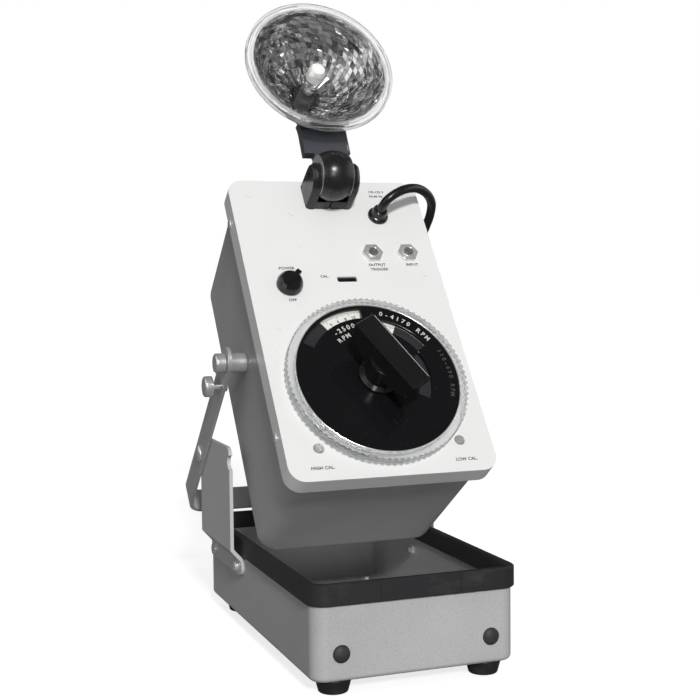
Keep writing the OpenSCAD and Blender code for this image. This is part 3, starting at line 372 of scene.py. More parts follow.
def black_rubber(name, shade=(0.022, 0.022, 0.024), rough=0.62, scuffs=0.5, seams=()):
    """Matt black rubber with greyish scuffs; seams are lines across the width, by their X."""
    f = Finish(name)
    where = f.place()
    scuff = f.between(f.noise(55, 5, f.place(stretch=(1, 0.35, 2)), 0.62), 0.52, 0.78)
    grain = f.noise(1400, 2)
    body = f.mix(scuff * scuffs, shade, (0.11, 0.11, 0.112))
    height = grain
    if seams:
        across = f.add("ShaderNodeSeparateXYZ", {}, {"Vector": where})
        front = f.add("ShaderNodeSeparateXYZ", {}, {"Vector": where}, output=1) < -0.12
        for seam in seams:
            near = f.add("ShaderNodeMath", {"operation": "ABSOLUTE"}, {0: across - seam})
            line = f.between(near, 0.0005, 0.0001) * front
            body = f.mix(line * 0.8, body, (0.006, 0.006, 0.006))
            height = height - line * 3
    return f.shade(Base_Color=body, Roughness=rough + 0.18 * scuff, Specular_IOR_Level=0.4,
                   Normal=f.bump(height, 0.3, 0.0001))


def metal(name, shade, rough=0.28, brush=(1, 1, 1), depth=0.12, stain=0.12, turn=(0, 0, 0), bare=0.7):
    """Plated or satin metal; brush stretches its fine lines along an axis."""
    f = Finish(name)
    lines = f.noise(900, 3, f.place(stretch=brush, turn=turn), 0.6)
    cloud = f.between(f.noise(70, 4), 0.35, 0.75)
    body = f.mix(cloud * stain * 2, shade, [c * 0.72 for c in shade])
    return f.shade(Base_Color=body, Metallic=bare, Roughness=rough + 0.22 * (lines - 0.5) + 0.1 * cloud,
                   Normal=f.bump(lines, depth, 0.00005))


def plain(name, shade, rough=0.5, grain=500, vary=0.12, **more):
    """Moulded or painted parts inside: an even colour with grain and cloudy variation."""
    f = Finish(name)
    cloud = f.between(f.noise(60, 4), 0.3, 0.7)
    body = f.mix(cloud, [c * (1 - vary) for c in shade], [min(1, c * (1 + vary)) for c in shade])
    return f.shade(Base_Color=body, Roughness=rough + 0.12 * cloud,
                   Normal=f.bump(f.noise(grain, 3), 0.15, 0.0001), **more)


def clear(name, shade=(0.95, 0.965, 0.96), rough=0.03, see=0.45, ior=1.49):
    """Clear moulded plastic or glass with faint flow lines."""
    f = Finish(name)
    flow = f.noise(120, 2)
    return f.shade(Base_Color=shade, Roughness=rough + 0.03 * flow, IOR=ior, Transmission_Weight=1.0,
                   Alpha=see, Normal=f.bump(flow, 0.08, 0.0002))


def silvering(name):
    """The mirror coat of the faceted bowl; each facet's base colour is a painted reflection, a random shade from dark
    to bright.
    """
    f = Finish(name)
    own = f.add("ShaderNodeAttribute", {"attribute_name": "facet"}, output="Fac")
    body = f.add("ShaderNodeValToRGB", {"stops": [(0.0, 0.07), (0.3, 0.26), (0.55, 0.55), (0.8, 0.9), (1.0, 0.98)]},
                 {"Fac": own})
    ripple = f.noise(260, 2)
    return f.shade(Base_Color=body, Metallic=1.0, Roughness=0.07 + 0.06 * ripple,
                   Normal=f.bump(ripple, 0.18, 0.0004))


tray_paint = speckled_enamel("tray_enamel", (0.462, 0.464, 0.467))
case_paint = speckled_enamel("case_enamel", (0.45, 0.452, 0.456), 0.12)
panel_paint = smooth_enamel("panel_enamel", (0.84, 0.84, 0.832), 0.28, 0.03)
bracket_paint = smooth_enamel("bracket_enamel", (0.56, 0.565, 0.57), 0.34)
arm_paint = smooth_enamel("arm_enamel", (0.045, 0.048, 0.058), 0.34)
gasket_rubber = black_rubber("gasket_rubber", (0.015, 0.015, 0.017), scuffs=0.28, seams=(-0.02298, 0.02746))
foot_rubber = black_rubber("foot_rubber", (0.014, 0.014, 0.016), 0.5, 0.25)
bumper_rubber = black_rubber("bumper_rubber", (0.03, 0.03, 0.035), 0.55, 0.3)
cord_sheath = moulded_black("cord_sheath", (0.010, 0.010, 0.010), 0.2, 0.1)
strap_metal = metal("strap_metal", (0.50, 0.505, 0.51), 0.36, (60, 1, 1), 0.1, bare=0.4)
stud_metal = metal("stud_metal", (0.74, 0.74, 0.73), 0.22, (60, 1, 1), 0.1)
bright_metal = metal("bright_plating", (0.84, 0.84, 0.83), 0.18, (1, 1, 1), 0.05, bare=0.65)
black_gloss = moulded_black("black_moulding")
knob_gloss = moulded_black("knob_moulding", (0.010, 0.010, 0.010), 0.14, 0.12)
mask_gloss = moulded_black("mask_gloss", (0.006, 0.006, 0.007), 0.10, 0.12)
clevis_paint = moulded_black("clevis_paint", (0.014, 0.014, 0.016), 0.22, 0.2)
window_black = plain("window_black", (0.02, 0.02, 0.024), 0.45)
clear_plastic = clear("clear_plastic", (0.86, 0.875, 0.87), 0.04, 0.72)
lens_glass = clear("lens_glass", (0.99, 0.995, 0.99), 0.0, 0.10)
ring_glass = clear("ring_glass", (0.93, 0.94, 0.93), 0.02, 0.75, 1.5)
tube_glass = clear("tube_glass", (0.97, 0.98, 0.98), 0.01, 0.5, 1.46)
scale_print = plain("scale_print", (0.80, 0.79, 0.74), 0.55, vary=0.03)
ink = plain("black_ink", (0.012, 0.012, 0.014), 0.5, vary=0.3)
white_ink = plain("white_ink", (0.62, 0.62, 0.58), 0.5, vary=0.1)
dim_ink = plain("dim_ink", (0.06, 0.06, 0.058), 0.5, vary=0.1)
ceramic = plain("white_ceramic", (0.90, 0.90, 0.87), 0.4, vary=0.03)
brass = metal("turned_brass", (0.70, 0.56, 0.28), 0.25, (1, 1, 1), 0.1)
mirror_coat_painted_reflections = silvering("mirror_coat_painted_reflections")
bowl_back = metal("bowl_back", (0.62, 0.62, 0.61), 0.3, (1, 1, 1), 0.1)
chassis_metal = metal("chassis_metal", (0.72, 0.72, 0.71), 0.4, (1, 40, 1), 0.15)
iron = plain("transformer_iron", (0.10, 0.095, 0.09), 0.6, Metallic=0.5)
sleeve = plain("capacitor_sleeve", (0.03, 0.05, 0.13), 0.4)
board_resin = plain("board_resin", (0.03, 0.12, 0.05), 0.5)
phenolic = plain("switch_phenolic", (0.16, 0.08, 0.03), 0.5)
pot_moulding = plain("trimmer_moulding", (0.03, 0.07, 0.2), 0.45)
lamp_glow = clear("small_lamp_glass", (0.98, 0.93, 0.8), 0.02, 0.6)

# ---------------------------------------------------------------- mains cord
CORD_R = 3.1 * MM
MID_Y = 13.8066
panel_route = [(34, 197, 2), (34, 197, 9), (36.8, 198.8, 16), (45, 203, 19), (54, 207, 18), (63, 210, 14),
               (70.5, 209.5, 9.5), (74.5, 205.5, 5), (75.6, 202, -3), (75, 199, -13)]
hang_route = [(73.6, 47, 262), (72.4, 60, 241), (71.2, 75, 213), (69.6, 91, 181), (68, 107, 149),
              (66.6, 122, 120), (66, 133, 101), (66, 142.5, 88)]
lower_route = [(66, 150.6, 81.5), (66, 154.2, 72), (66, 155.5, 60), (66, 156, 44), (66.4, 157, 30),
               (68.5, 161, 17), (73, 169, 8), (78.8, 180, 4.2), (83.4, 192, 3.4), (85.6, 202, 3.3),
               (86, 208, 3.3)]
COIL_CENTRE, COIL_R, COIL_PITCH, COIL_TURNS, COIL_BACK = (40, 215), 46, 6.8, 6, 3.25
COIL_Z, PLUG_LEAD, COIL_STEPS = 3.3, 41, 48


def from_floor(point):
    return Vector((point[0], point[1] - MID_Y, point[2])) * MM


def smooth_route(points, steps):
    """Points of a smooth curve through the route."""
    found = []
    for i in range(len(points) - 1):
        a, b, c, d = (points[max(i - 1, 0)], points[i], points[i + 1], points[min(i + 2, len(points) - 1)])
        for k in range(steps):
            t = k / steps
            found.append(0.5 * (2 * b + (c - a) * t + (2 * a - 5 * b + 4 * c - d) * t * t
                                + (3 * b - a - 3 * c + d) * t ** 3))
    return found + [points[-1]]


def coil_point(turn):
    radius = COIL_R - COIL_PITCH * (turn if turn < COIL_BACK else 2 * COIL_BACK - turn)
    climb = min(max((turn - COIL_BACK + 0.25) / 0.5, 0), 1)
    return from_floor((COIL_CENTRE[0] + radius * cos(2 * pi * turn), COIL_CENTRE[1] + radius * sin(2 * pi * turn),
                       COIL_Z + COIL_PITCH * climb))


LEAD_STEPS = 9
lead_points = ([panel_frame @ (Vector(p) * MM) for p in panel_route]
               + [from_floor(p) for p in hang_route + lower_route])
lead = smooth_route(lead_points, LEAD_STEPS)
handover = LEAD_STEPS * (len(panel_route) + len(hang_route) - 1)
last_turn = coil_point(COIL_TURNS)
plug_entry = Vector((last_turn.x, from_floor((0, COIL_CENTRE[1] + PLUG_LEAD, 0)).y, last_turn.z))
coil_path = [coil_point(i / COIL_STEPS) for i in range(1, COIL_TURNS * COIL_STEPS + 1)]
coil_path += [last_turn.lerp(plug_entry, share) for share in (0.25, 0.5, 0.75, 1)]
upper_path = lead[:handover + 1]
lower_path = lead[handover:] + coil_path


def path_length(path):
    return sum((b - a).length for a, b in zip(path, path[1:]))


def cord_tube(path):
    """A round tube along a path, closed at both ends."""
    curve = bpy.data.curves.new("cord", "CURVE")
    curve.dimensions = "3D"
    curve.bevel_depth = CORD_R
    curve.bevel_resolution = 5
    curve.use_fill_caps = True
    line = curve.splines.new("POLY")
    line.points.add(len(path) - 1)
    for point, place in zip(line.points, path):
        point.co = (*place, 1)
    piece = bpy.data.objects.new("cord", curve)
    bpy.context.collection.objects.link(piece)
    pick(piece)
    bpy.ops.object.convert(target="MESH")
    piece = bpy.context.object
    bpy.ops.object.shade_smooth_by_angle(angle=radians(50))
    return piece


cord_upper = finish_piece(cord_tube(upper_path), "mains_cord_upper", cord_sheath, stands_for=["cord_upper"])
from_floor(hang_route[0])
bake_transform(cord_upper)
path_length(upper_path)

plug = finish_piece(softened("plug_body", 0.6 * MM), "mains_plug", cord_sheath, "base", ["plug_body"])
cord_lower = finish_piece(cord_tube(lower_path), "mains_cord_lower", cord_sheath,
                          stands_for=["cord_lower", "cord_coil"])
from_floor((66, 155.5, 60))
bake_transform(cord_lower)
path_length(lower_path)

# ---------------------------------------------------------------- CAD parts with softened edges
EDGES = {
    "base_tray": (tray_paint, 0.5), "rim_gasket": (gasket_rubber, 0), "feet": (foot_rubber, 0.4),
    "front_bumpers": (bumper_rubber, 0), "bracket_left": (bracket_paint, 0.55), "bracket_right": (bracket_paint, 0.55),
    "handle_rivets": (stud_metal, 0.3), "handle_strap": (strap_metal, 0.45), "lock_pin_left": (stud_metal, 0.35),
    "lock_pin_right": (stud_metal, 0.35), "case_studs": (stud_metal, 0.35),
    "stud_spacers": (stud_metal, 0.3), "dial_mask": (mask_gloss, 0.3),
    "jack_nuts": (bright_metal, 0.4), "output_jack": (bright_metal, 0.3), "input_jack": (bright_metal, 0.3),
    "cord_bush": (black_gloss, 0.35), "rpm_dial": (clear_plastic, 0.25), "range_knob": (knob_gloss, 0.6),
    "power_knob": (knob_gloss, 0.4),
    "tube_cap": (ceramic, 0.3), "panel_screws": (panel_paint, 0.15), "foot_nuts": (bright_metal, 0.3),
    "bracket_nuts": (bright_metal, 0.3), "rim_screws": (bright_metal, 0.2),
}
for node, (finish, edge) in EDGES.items():
    dressed(node, finish, edge=edge * MM)

# ---------------------------------------------------------------- case
CASE_W, CASE_TAPER, CASE_L0, CASE_L1 = 63.5, 2.9, 3.6, 223.3
CASE_R, CASE_EDGE, CASE_FRONT, CASE_BACK, CASE_T = 12.4, 9.5, 1.65, 114, 1.8
SLOPE_LOW, SLOPE_TOP = 1.9, 5.3


def plate(width, length, corner, steps=8):
    """A flat plate with rounded corners, its middle at the origin."""
    bpy.ops.object.select_all(action="DESELECT")
    bpy.ops.mesh.primitive_plane_add(size=1, location=(0, 0, 0))
    piece = bpy.context.object
    edit(piece, "VERT")
    bpy.ops.mesh.select_all(action="SELECT")
    bpy.ops.transform.resize(value=(width * MM, length * MM, 1), center_override=(0, 0, 0))
    bpy.ops.mesh.bevel(offset=corner * MM, segments=steps, affect="VERTICES")
    return piece


case = plate(2 * CASE_W - 0.1, CASE_L1 - CASE_L0 - 0.1, CASE_R)
bpy.ops.mesh.select_mode(type="FACE")
bpy.ops.mesh.select_all(action="SELECT")
levels = [(0, 0)] + [((CASE_BACK - CASE_FRONT - CASE_EDGE), 0)]
levels += [(CASE_BACK - CASE_FRONT - CASE_EDGE * (1 - sin(radians(a))), CASE_EDGE * (1 - cos(radians(a))))
           for a in (15, 30, 45, 60, 75, 88)]
middle = (CASE_L0 + CASE_L1) / 2
wide, long, mid_s = 2 * CASE_W - 0.1, CASE_L1 - CASE_L0 - 0.1, 0.0
for (down, inset), (last, _) in zip(levels[1:], levels):
    share = down / (CASE_BACK - CASE_FRONT)
    new_wide = 2 * (CASE_W - CASE_TAPER * share - inset) - 0.1
    new_long = CASE_L1 - CASE_L0 - (SLOPE_LOW + SLOPE_TOP) * share - 2 * inset - 0.1
    new_mid = (SLOPE_LOW - SLOPE_TOP) / 2 * share
    bpy.ops.mesh.extrude_region_move(TRANSFORM_OT_translate={
        "value": (0, (new_mid - mid_s) * MM, (last - down) * MM)})
    bpy.ops.transform.resize(value=(new_wide / wide, new_long / long, 1), center_override=(0, new_mid * MM, 0))
    wide, long, mid_s = new_wide, new_long, new_mid
bpy.ops.mesh.select_all(action="SELECT")
bpy.ops.mesh.normals_make_consistent(inside=False)
choose(case, lambda at, out: at.z > -0.0001 and out.z > 0.9)
bpy.ops.mesh.inset(thickness=CASE_T * MM)
bpy.ops.mesh.extrude_region_move(TRANSFORM_OT_translate={"value": (0, 0, (CASE_T + 1.2 - CASE_BACK + CASE_FRONT) * MM)})
bpy.ops.transform.resize(value=(0.93, 0.96, 1), center_override=(0, 0, 0))
done(case, 32)
modify(case, "WEIGHTED_NORMAL", keep_sharp=True, weight=60)
case.data.transform(Matrix.Translation((0, middle * MM, -CASE_FRONT * MM)))
finish_piece(settle(case, panel_frame), "instrument_case", case_paint, "instrument", ["case_shell"])

# ---------------------------------------------------------------- panel with a rolled rim
to_panel = panel_frame.inverted()
panel = softened("front_panel", 0)
edit(panel, "EDGE")
bpy.ops.object.mode_set(mode="OBJECT")
spots = [to_panel @ point.co for point in panel.data.vertices]


def on_outline(spot):
    side = abs(spot.x) > 0.0673 or spot.y < 0.0001 or spot.y > 0.2268
    corner = abs(spot.x) > 0.0568 and (spot.y < 0.0106 or spot.y > 0.2163)
    return spot.z > -0.0002 and (side or corner)


for edge in panel.data.edges:
    edge.select = all(on_outline(spots[i]) for i in edge.vertices)
bpy.ops.object.mode_set(mode="EDIT")
bpy.ops.mesh.bevel(offset=2.0 * MM, segments=5, affect="EDGES", clamp_overlap=True)
done(panel, 30)
modify(panel, "BEVEL", width=0.25 * MM, segments=1, limit_method="ANGLE", angle_limit=radians(50))
done(panel, 30)
modify(panel, "WEIGHTED_NORMAL", keep_sharp=True, weight=80)
finish_piece(panel, "control_panel", panel_paint, "instrument", ["front_panel"])

# ---------------------------------------------------------------- lamp arm, hinge and lens
lamp_pivot = place_on(joints["lamp_tilt"]["pos_m"], joints["reflector_turn"]["axis"])
ARM_LEN = 77.9


def loft(sections):
    """A bar through flat sections: (along, out, half width, half thickness) in millimetres."""
    along, out, half, thick = sections[0]
    bpy.ops.object.select_all(action="DESELECT")
    bpy.ops.mesh.primitive_plane_add(size=2, location=(0, 0, 0))
    piece = bpy.context.object
    edit(piece, "FACE")
    bpy.ops.mesh.select_all(action="SELECT")
    bpy.ops.transform.resize(value=(half * MM, thick * MM, 1), center_override=(0, 0, 0))
    bpy.ops.transform.rotate(value=-pi / 2, orient_axis="X", center_override=(0, 0, 0))
    bpy.ops.transform.translate(value=(0, along * MM, out * MM))
    for next_along, next_out, next_half, next_thick in sections[1:]:
        bpy.ops.mesh.extrude_region_move(TRANSFORM_OT_translate={
            "value": (0, (next_along - along) * MM, (next_out - out) * MM)})
        bpy.ops.transform.resize(value=(next_half / half, 1, next_thick / thick),
                                 center_override=(0, next_along * MM, next_out * MM))
        along, out, half, thick = next_along, next_out, next_half, next_thick
    bpy.ops.mesh.select_all(action="SELECT")
    bpy.ops.mesh.normals_make_consistent(inside=False)
    return piece


arm = loft([(15.8, -3.0, 9.6, 3.4), (17.6, -3.0, 9.8, 3.5), (17.7, -3.0, 16.25, 3.5), (36.0, -3.0, 16.25, 3.5),
            (40.0, -4.0, 16.25, 3.2), (44.0, -6.5, 16.0, 2.6), (47.0, -11.0, 12.0, 2.4), (53.0, -19.5, 8.0, 2.2),
            (61.0, -28.0, 6.0, 2.0), (68.5, -33.0, 7.0, 1.4)])
done(arm, 30)
modify(arm, "BEVEL", width=0.8 * MM, segments=3, limit_method="ANGLE", angle_limit=radians(40))
done(arm, 40)
arm_seat = turned([(r * MM, h * MM) for r, h in (
    (5.7, -34.4), (9.6, -34.4), (10.0, -34.0), (10.0, -31.7), (9.7, -31.4), (5.7, -31.4), (5.7, -34.4))], 48)
arm_seat.data.transform(Matrix.Translation((0, ARM_LEN * MM, 0)))
arm = joined([arm, arm_seat])
done(arm, 40)
finish_piece(settle(arm, lamp_pivot), "lamp_arm_plate", arm_paint, "lamp", ["lamp_arm"])

# a fine bright line down the arm's right edge
edge_line = loft([(20.2, 0.47, 0.22, 0.06), (39.0, 0.2, 0.22, 0.06)])
done(edge_line, 30)
edge_line.data.transform(Matrix.Translation((15.0 * MM, 0, 0.03 * MM)))
finish_piece(settle(edge_line, lamp_pivot), "arm_bright_edge_line", bright_metal, "lamp", slot=slot_of["lamp_pivot_pin"])

washers = []
for x in (-10.56, 10.56):
    washer = turned([(2.4 * MM, -0.1 * MM), (13.8 * MM, -0.1 * MM), (13.9 * MM, 0), (13.8 * MM, 0.1 * MM),
                     (2.4 * MM, 0.1 * MM), (2.4 * MM, -0.1 * MM)], 72)
    washer.data.transform(Matrix.Translation((x * MM, 0, 0)) @ Matrix.Rotation(pi / 2, 4, "Y"))
    washers.append(washer)
finish_piece(settle(joined(washers), lamp_pivot), "hinge_washers", bright_metal, "lamp",
             slot=slot_of["lamp_pivot_pin"])

PIVOT_S, PIVOT_H, CHEEK_IN, CHEEK_OUT, BALL = 216, 19, 10.75, 16.4, 17.35
CHEEK_SIDE = [(-13.4, 0.1), (-13.6, 12), (-13.2, 19), (-11.4, 24), (-8, 27.4), (-3.5, 29.4), (0.5, 29.6),
              (3.6, 28), (5.6, 24.6), (6.3, 19), (6.3, 0.1)]


def cheek(side):
    """One cheek of the clevis: its side shape pulled out across the panel, chamfered outside."""
    bpy.ops.object.select_all(action="DESELECT")
    bpy.ops.mesh.primitive_circle_add(vertices=len(CHEEK_SIDE), radius=0.01, fill_type="NGON", location=(0, 0, 0))
    piece = bpy.context.object
    for point, (s, h) in zip(piece.data.vertices, CHEEK_SIDE):
        point.co = (side * CHEEK_IN * MM, s * MM, h * MM)
    edit(piece, "FACE")
    bpy.ops.mesh.select_all(action="SELECT")
    bpy.ops.mesh.extrude_region_move(TRANSFORM_OT_translate={"value": (side * 3.4 * MM, 0, 0)})
    bpy.ops.mesh.extrude_region_move(TRANSFORM_OT_translate={
        "value": (side * (CHEEK_OUT - CHEEK_IN - 3.4) * MM, 0, 0)})
    bpy.ops.transform.resize(value=(1, 0.9, 0.93), center_override=(0, 2 * MM, 2 * MM))
    bpy.ops.mesh.select_all(action="SELECT")
    bpy.ops.mesh.normals_make_consistent(inside=False)
    done(piece, 35)
    return piece


base_block = loft([(-13, 4.05, 13.2, 3.95), (-5, 4.05, 16.2, 3.95), (6, 4.05, 16.2, 3.95)])
done(base_block, 35)
hollow = turned([(BALL * MM, -CHEEK_IN * MM), (BALL * MM, CHEEK_IN * MM)], 64)
hollow.data.transform(Matrix.Translation((0, 0, PIVOT_H * MM)) @ Matrix.Rotation(pi / 2, 4, "Y"))
notch = loft([(-14, 3, 0.45, 6), (-11.2, 3, 0.45, 6)])
done(notch, 30)
for cutter in (hollow, notch):
    modify(base_block, "BOOLEAN", operation="DIFFERENCE", object=cutter, solver="EXACT")
    bpy.data.objects.remove(cutter)
clevis = joined([base_block, cheek(-1), cheek(1)])
modify(clevis, "BEVEL", width=0.45 * MM, segments=2, limit_method="ANGLE", angle_limit=radians(35))
done(clevis, 35)
clevis.data.transform(Matrix.Translation((0, PIVOT_S * MM, 0)))
finish_piece(settle(clevis, panel_frame), "hinge_clevis", clevis_paint, "instrument", ["lamp_clevis"])

lens = turned([(0.05 * MM, 0.6 * MM), (44.6 * MM, 0.2 * MM), (44.6 * MM, 2.0 * MM), (0.05 * MM, 2.2 * MM)], 96)
finish_piece(settle(lens, head_frame), "lens_glass_front", lens_glass, "reflector", slot=slot_of["lens_ring"])
lens_rim = turned([(r * MM, h * MM) for r, h in (
    (44.7, 0.3), (47.9, 0.1), (48.0, -4.0), (50.2, -4.0), (51.0, -2.6), (52.0, -2.2), (52.0, 0.9), (51.2, 1.8),
    (49.6, 1.9), (49.2, 2.4), (47.6, 2.5), (47.0, 1.9), (44.7, 1.9), (44.7, 0.3))], 112)
finish_piece(settle(lens_rim, head_frame), "lens_rim", ring_glass, "reflector", ["lens_ring"])

socket = turned([(r * MM, h * MM) for r, h in (
    (0.3, -36.6), (5.3, -36.6), (5.6, -36.2), (5.6, -31.3), (10.1, -31.3), (10.5, -30.9), (10.5, -21.7),
    (10.1, -21.3), (8.9, -21.2), (8.9, -16.0), (8.6, -15.7), (4.7, -15.7), (4.7, -35.1), (0.3, -35.1))], 64)
finish_piece(settle(socket, lamp_pivot @ Matrix.Translation((0, ARM_LEN * MM, 0))), "tube_socket", black_gloss,
             "lamp", ["lamp_socket"])
KNUCKLE_R, KNUCKLE_FACE, KNUCKLE_STEPS = 17.0, 10.4, 16
heights = [KNUCKLE_FACE * (2 * i / KNUCKLE_STEPS - 1) for i in range(KNUCKLE_STEPS + 1)]
rounds = [(sqrt(KNUCKLE_R ** 2 - h ** 2), h) for h in heights]
knuckle = turned([(r * MM, h * MM) for r, h in
                  [(2.3, -KNUCKLE_FACE)] + rounds + [(2.3, KNUCKLE_FACE), (2.3, -KNUCKLE_FACE)]], 96)
knuckle.data.transform(Matrix.Rotation(pi / 2, 4, "Y"))
finish_piece(settle(knuckle, lamp_pivot), "hinge_knuckle", clevis_paint, "lamp", ["lamp_knuckle"])

# electrodes and the wire cage inside the flash tube
wires = []
for angle, reach in ((20, 15), (150, 15), (265, 14)):
    wire = turned([(0.28 * MM, -30 * MM), (0.28 * MM, (reach - 22) * MM)], 8)
    wire.data.transform(Matrix.Translation((2.6 * cos(radians(angle)) * MM, 2.6 * sin(radians(angle)) * MM, 0)))
    wires.append(wire)
wires.append(turned([(1.5 * MM, -20 * MM), (2.0 * MM, -19 * MM), (2.0 * MM, -16.5 * MM), (0.6 * MM, -15 * MM)], 24))
wires.append(turned([(1.2 * MM, -31 * MM), (1.8 * MM, -30 * MM), (1.8 * MM, -27 * MM), (0.8 * MM, -26 * MM)], 24))
finish_piece(settle(joined(wires), head_frame), "tube_electrodes", bright_metal, "lamp", slot=slot_of["lamp_pivot_pin"])

# ---------------------------------------------------------------- dial bright line and the knob's painted edge highlight
dial_line = turned([(r * MM, h * MM) for r, h in (
    (52.75, 8.2), (53.15, 8.2), (53.15, 9.42), (52.95, 9.5), (52.75, 9.42), (52.75, 8.2))], 120)
finish_piece(settle(dial_line, dial_frame), "dial_bright_line", bright_metal, "rpm_dial", slot=slot_of["range_spindle"])

BAR_TURN, BAR_HALF_L, BAR_HALF_W, BAR_TOP = -61.6, 26.0, 7.7, 38.0
# a painted highlight: a thin bright strip along the knob bar's right long edge, where light catches its chamfer
bar_highlight = loft([(-BAR_HALF_L + 0.6, BAR_TOP - 0.05, 0.28, 0.1), (BAR_HALF_L - 0.6, BAR_TOP - 0.05, 0.28, 0.1)])
done(bar_highlight, 30)
bar_highlight.data.transform(Matrix.Rotation(radians(BAR_TURN - 90), 4, "Z")
                        @ Matrix.Translation((-(BAR_HALF_W - 0.75) * MM, 0, 0)))
finish_piece(settle(bar_highlight, dial_frame), "knob_edge_highlight", bright_metal, "range_knob", slot=slot_of["range_spindle"])

# CAD parts that show as they are
KEPT = {
    "foot_screws": bright_metal, "bracket_screws": bright_metal, "chassis_bracket": chassis_metal,
    "power_transformer": iron, "filter_capacitors": sleeve, "circuit_board": board_resin,
    "dial_potentiometer": chassis_metal, "range_switch": phenolic, "dial_lamps": lamp_glow, "dial_bush": brass,
    "power_switch": window_black, "cal_window": window_black, "cal_reed": bright_metal, "rpm_hub": brass,
    "scale_disc": window_black, "range_spindle": bright_metal, "trimmer_high": bright_metal,
    "trimmer_low": bright_metal, "trimmer_pots": pot_moulding, "lamp_pivot_pin": bright_metal,
    "flash_tube": tube_glass, "plug_blades": brass,
}
for node, finish in KEPT.items():
    nodes[node].data.materials.clear()
    nodes[node].data.materials.append(finish)

# ---------------------------------------------------------------- faceted bowl
BOWL_R, BOWL_HOLE, BOWL_DEEP, BOWL_WALL = 46.5 * MM, 9.1 * MM, 36 * MM, 1.0 * MM
BOWL_RINGS, BOWL_FACETS = 14, 50


def bowl_place(share):
    """Radius and depth down the bowl: the square of the radius falls evenly with depth."""
    return sqrt(BOWL_R ** 2 * (1 - share) + BOWL_HOLE ** 2 * share), -BOWL_DEEP * share


bpy.ops.object.select_all(action="DESELECT")
bpy.ops.mesh.primitive_circle_add(vertices=BOWL_FACETS, radius=BOWL_R, location=(0, 0, 0), fill_type="NOTHING")
bowl = bpy.context.object
edit(bowl, "EDGE")
bpy.ops.mesh.select_all(action="SELECT")
wide, high = BOWL_R, 0
for ring in range(1, BOWL_RINGS + 1):
    radius, height = bowl_place((ring / BOWL_RINGS) ** 1.25)
    bpy.ops.mesh.extrude_region_move(TRANSFORM_OT_translate={"value": (0, 0, height - high)})
    bpy.ops.transform.resize(value=(radius / wide, radius / wide, 1), center_override=(0, 0, 0))
    bpy.ops.transform.rotate(value=pi / BOWL_FACETS, orient_axis="Z", center_override=(0, 0, 0))
    wide, high = radius, height
bpy.ops.mesh.select_all(action="SELECT")
bpy.ops.mesh.normals_make_consistent(inside=True)
bpy.ops.mesh.select_mode(type="FACE")
bpy.ops.mesh.select_all(action="SELECT")
bpy.ops.mesh.inset(thickness=0.00022, depth=0.00032, use_individual=True)
bpy.ops.object.mode_set(mode="OBJECT")
# painted reflections: every facet gets a random shade, dark to bright, which its mirror colour shows in place of what
# it reflects
dice = random.Random(11)
facet_reflection_shades = [dice.random() for _ in bowl.data.polygons]
jitter = 0.0006
for point in bowl.data.vertices:
    radius = hypot(point.co.x, point.co.y)
    if BOWL_HOLE * 1.1 < radius < BOWL_R * 0.985:
        shift = (dice.random() - 0.5) * jitter
        point.co.x += point.co.x / radius * shift
        point.co.y += point.co.y / radius * shift
        point.co.z += (dice.random() - 0.5) * jitter
facet = bowl.data.attributes.new("facet", "FLOAT", "FACE")
facet.data.foreach_set("value", facet_reflection_shades)
bowl.data.materials.append(mirror_coat_painted_reflections)
bowl.data.materials.append(bowl_back)
modify(bowl, "SOLIDIFY", thickness=BOWL_WALL, offset=-1, use_rim=True, material_offset=1, material_offset_rim=1)
done(bowl, 0)
settle(bowl, head_frame)
finish_piece(bowl, "faceted_bowl", [], "reflector", ["reflector"])

# ---------------------------------------------------------------- lettering
def words(text, size, at, turn=0.0, height=0.0, align="CENTER", thick=0.00004, stretch=1.0):
    """One line of raised lettering on the panel; at is its middle in millimetres."""
    bpy.ops.object.select_all(action="DESELECT")
    bpy.ops.object.text_add(location=(0, 0, 0))
    piece = bpy.context.object
    piece.data.body = text
    piece.data.size = size * MM
    piece.data.align_x = align
    piece.data.align_y = "CENTER"
    piece.data.extrude = thick
    piece.data.resolution_u = 3
    piece.data.offset = size * 0.022 * MM
    piece.data.space_character = 1.08
    bpy.ops.object.convert(target="MESH")
    piece = bpy.context.object
    piece.data.transform(Matrix.Translation((at[0] * MM, at[1] * MM, height * MM + thick))
                         @ Matrix.Rotation(turn, 4, "Z") @ Matrix.Diagonal((stretch, 1, 1, 1)))
    return piece


def around(text, size, radius, start, step, height, inward=False):
    """Letters set one by one round the dial's centre; angles in degrees, step per letter."""
    letters, angle = [], start
    for letter in text:
        if letter != " ":
            a = radians(angle)
            letters.append(words(letter, size, (radius * cos(a), radius * sin(a)),
                                 a + (pi / 2 if inward else -pi / 2), height))
        angle += step
    return letters


LABELS = [
    ("POWER", 2.9, (-39.6, 153.9)), ("OFF", 2.9, (-40.3, 128.9)), ("CAL.", 2.6, (-15.1, 147.1)),
    ("OUTPUT", 2.9, (23.7, 156.0)), ("TRIGGER", 2.9, (24.6, 152.4)), ("INPUT", 2.9, (48.9, 156.0)),
    ("105-125 V", 2.5, (37.7, 218.2)), ("50-60 Hz", 2.5, (36.8, 214.4)),
    ("HIGH CAL.", 2.9, (-46.1, 8.4)), ("LOW CAL.", 2.9, (47.0, 8.2)),
]
labels = joined([words(text, size, at) for text, size, at in LABELS])
finish_piece(settle(labels, panel_frame), "panel_lettering", ink, "instrument")

MASK_FACE = 9.0
ring_text = (around("0-4170 RPM", 4.4, 47.6, 75.0, -4.55, MASK_FACE)
             + around("-2500", 4.6, 38.4, 123.5, -5.2, MASK_FACE)
             + around("RPM", 4.4, 33.0, 126.0, -6.2, MASK_FACE))
finish_piece(settle(joined(ring_text), dial_frame), "dial_lettering", white_ink, "instrument")
dim_text = around("110-690 RPM", 4.0, 48.0, 20.5, -3.9, MASK_FACE)
finish_piece(settle(joined(dim_text), dial_frame), "dial_lettering_dim", dim_ink, "instrument")


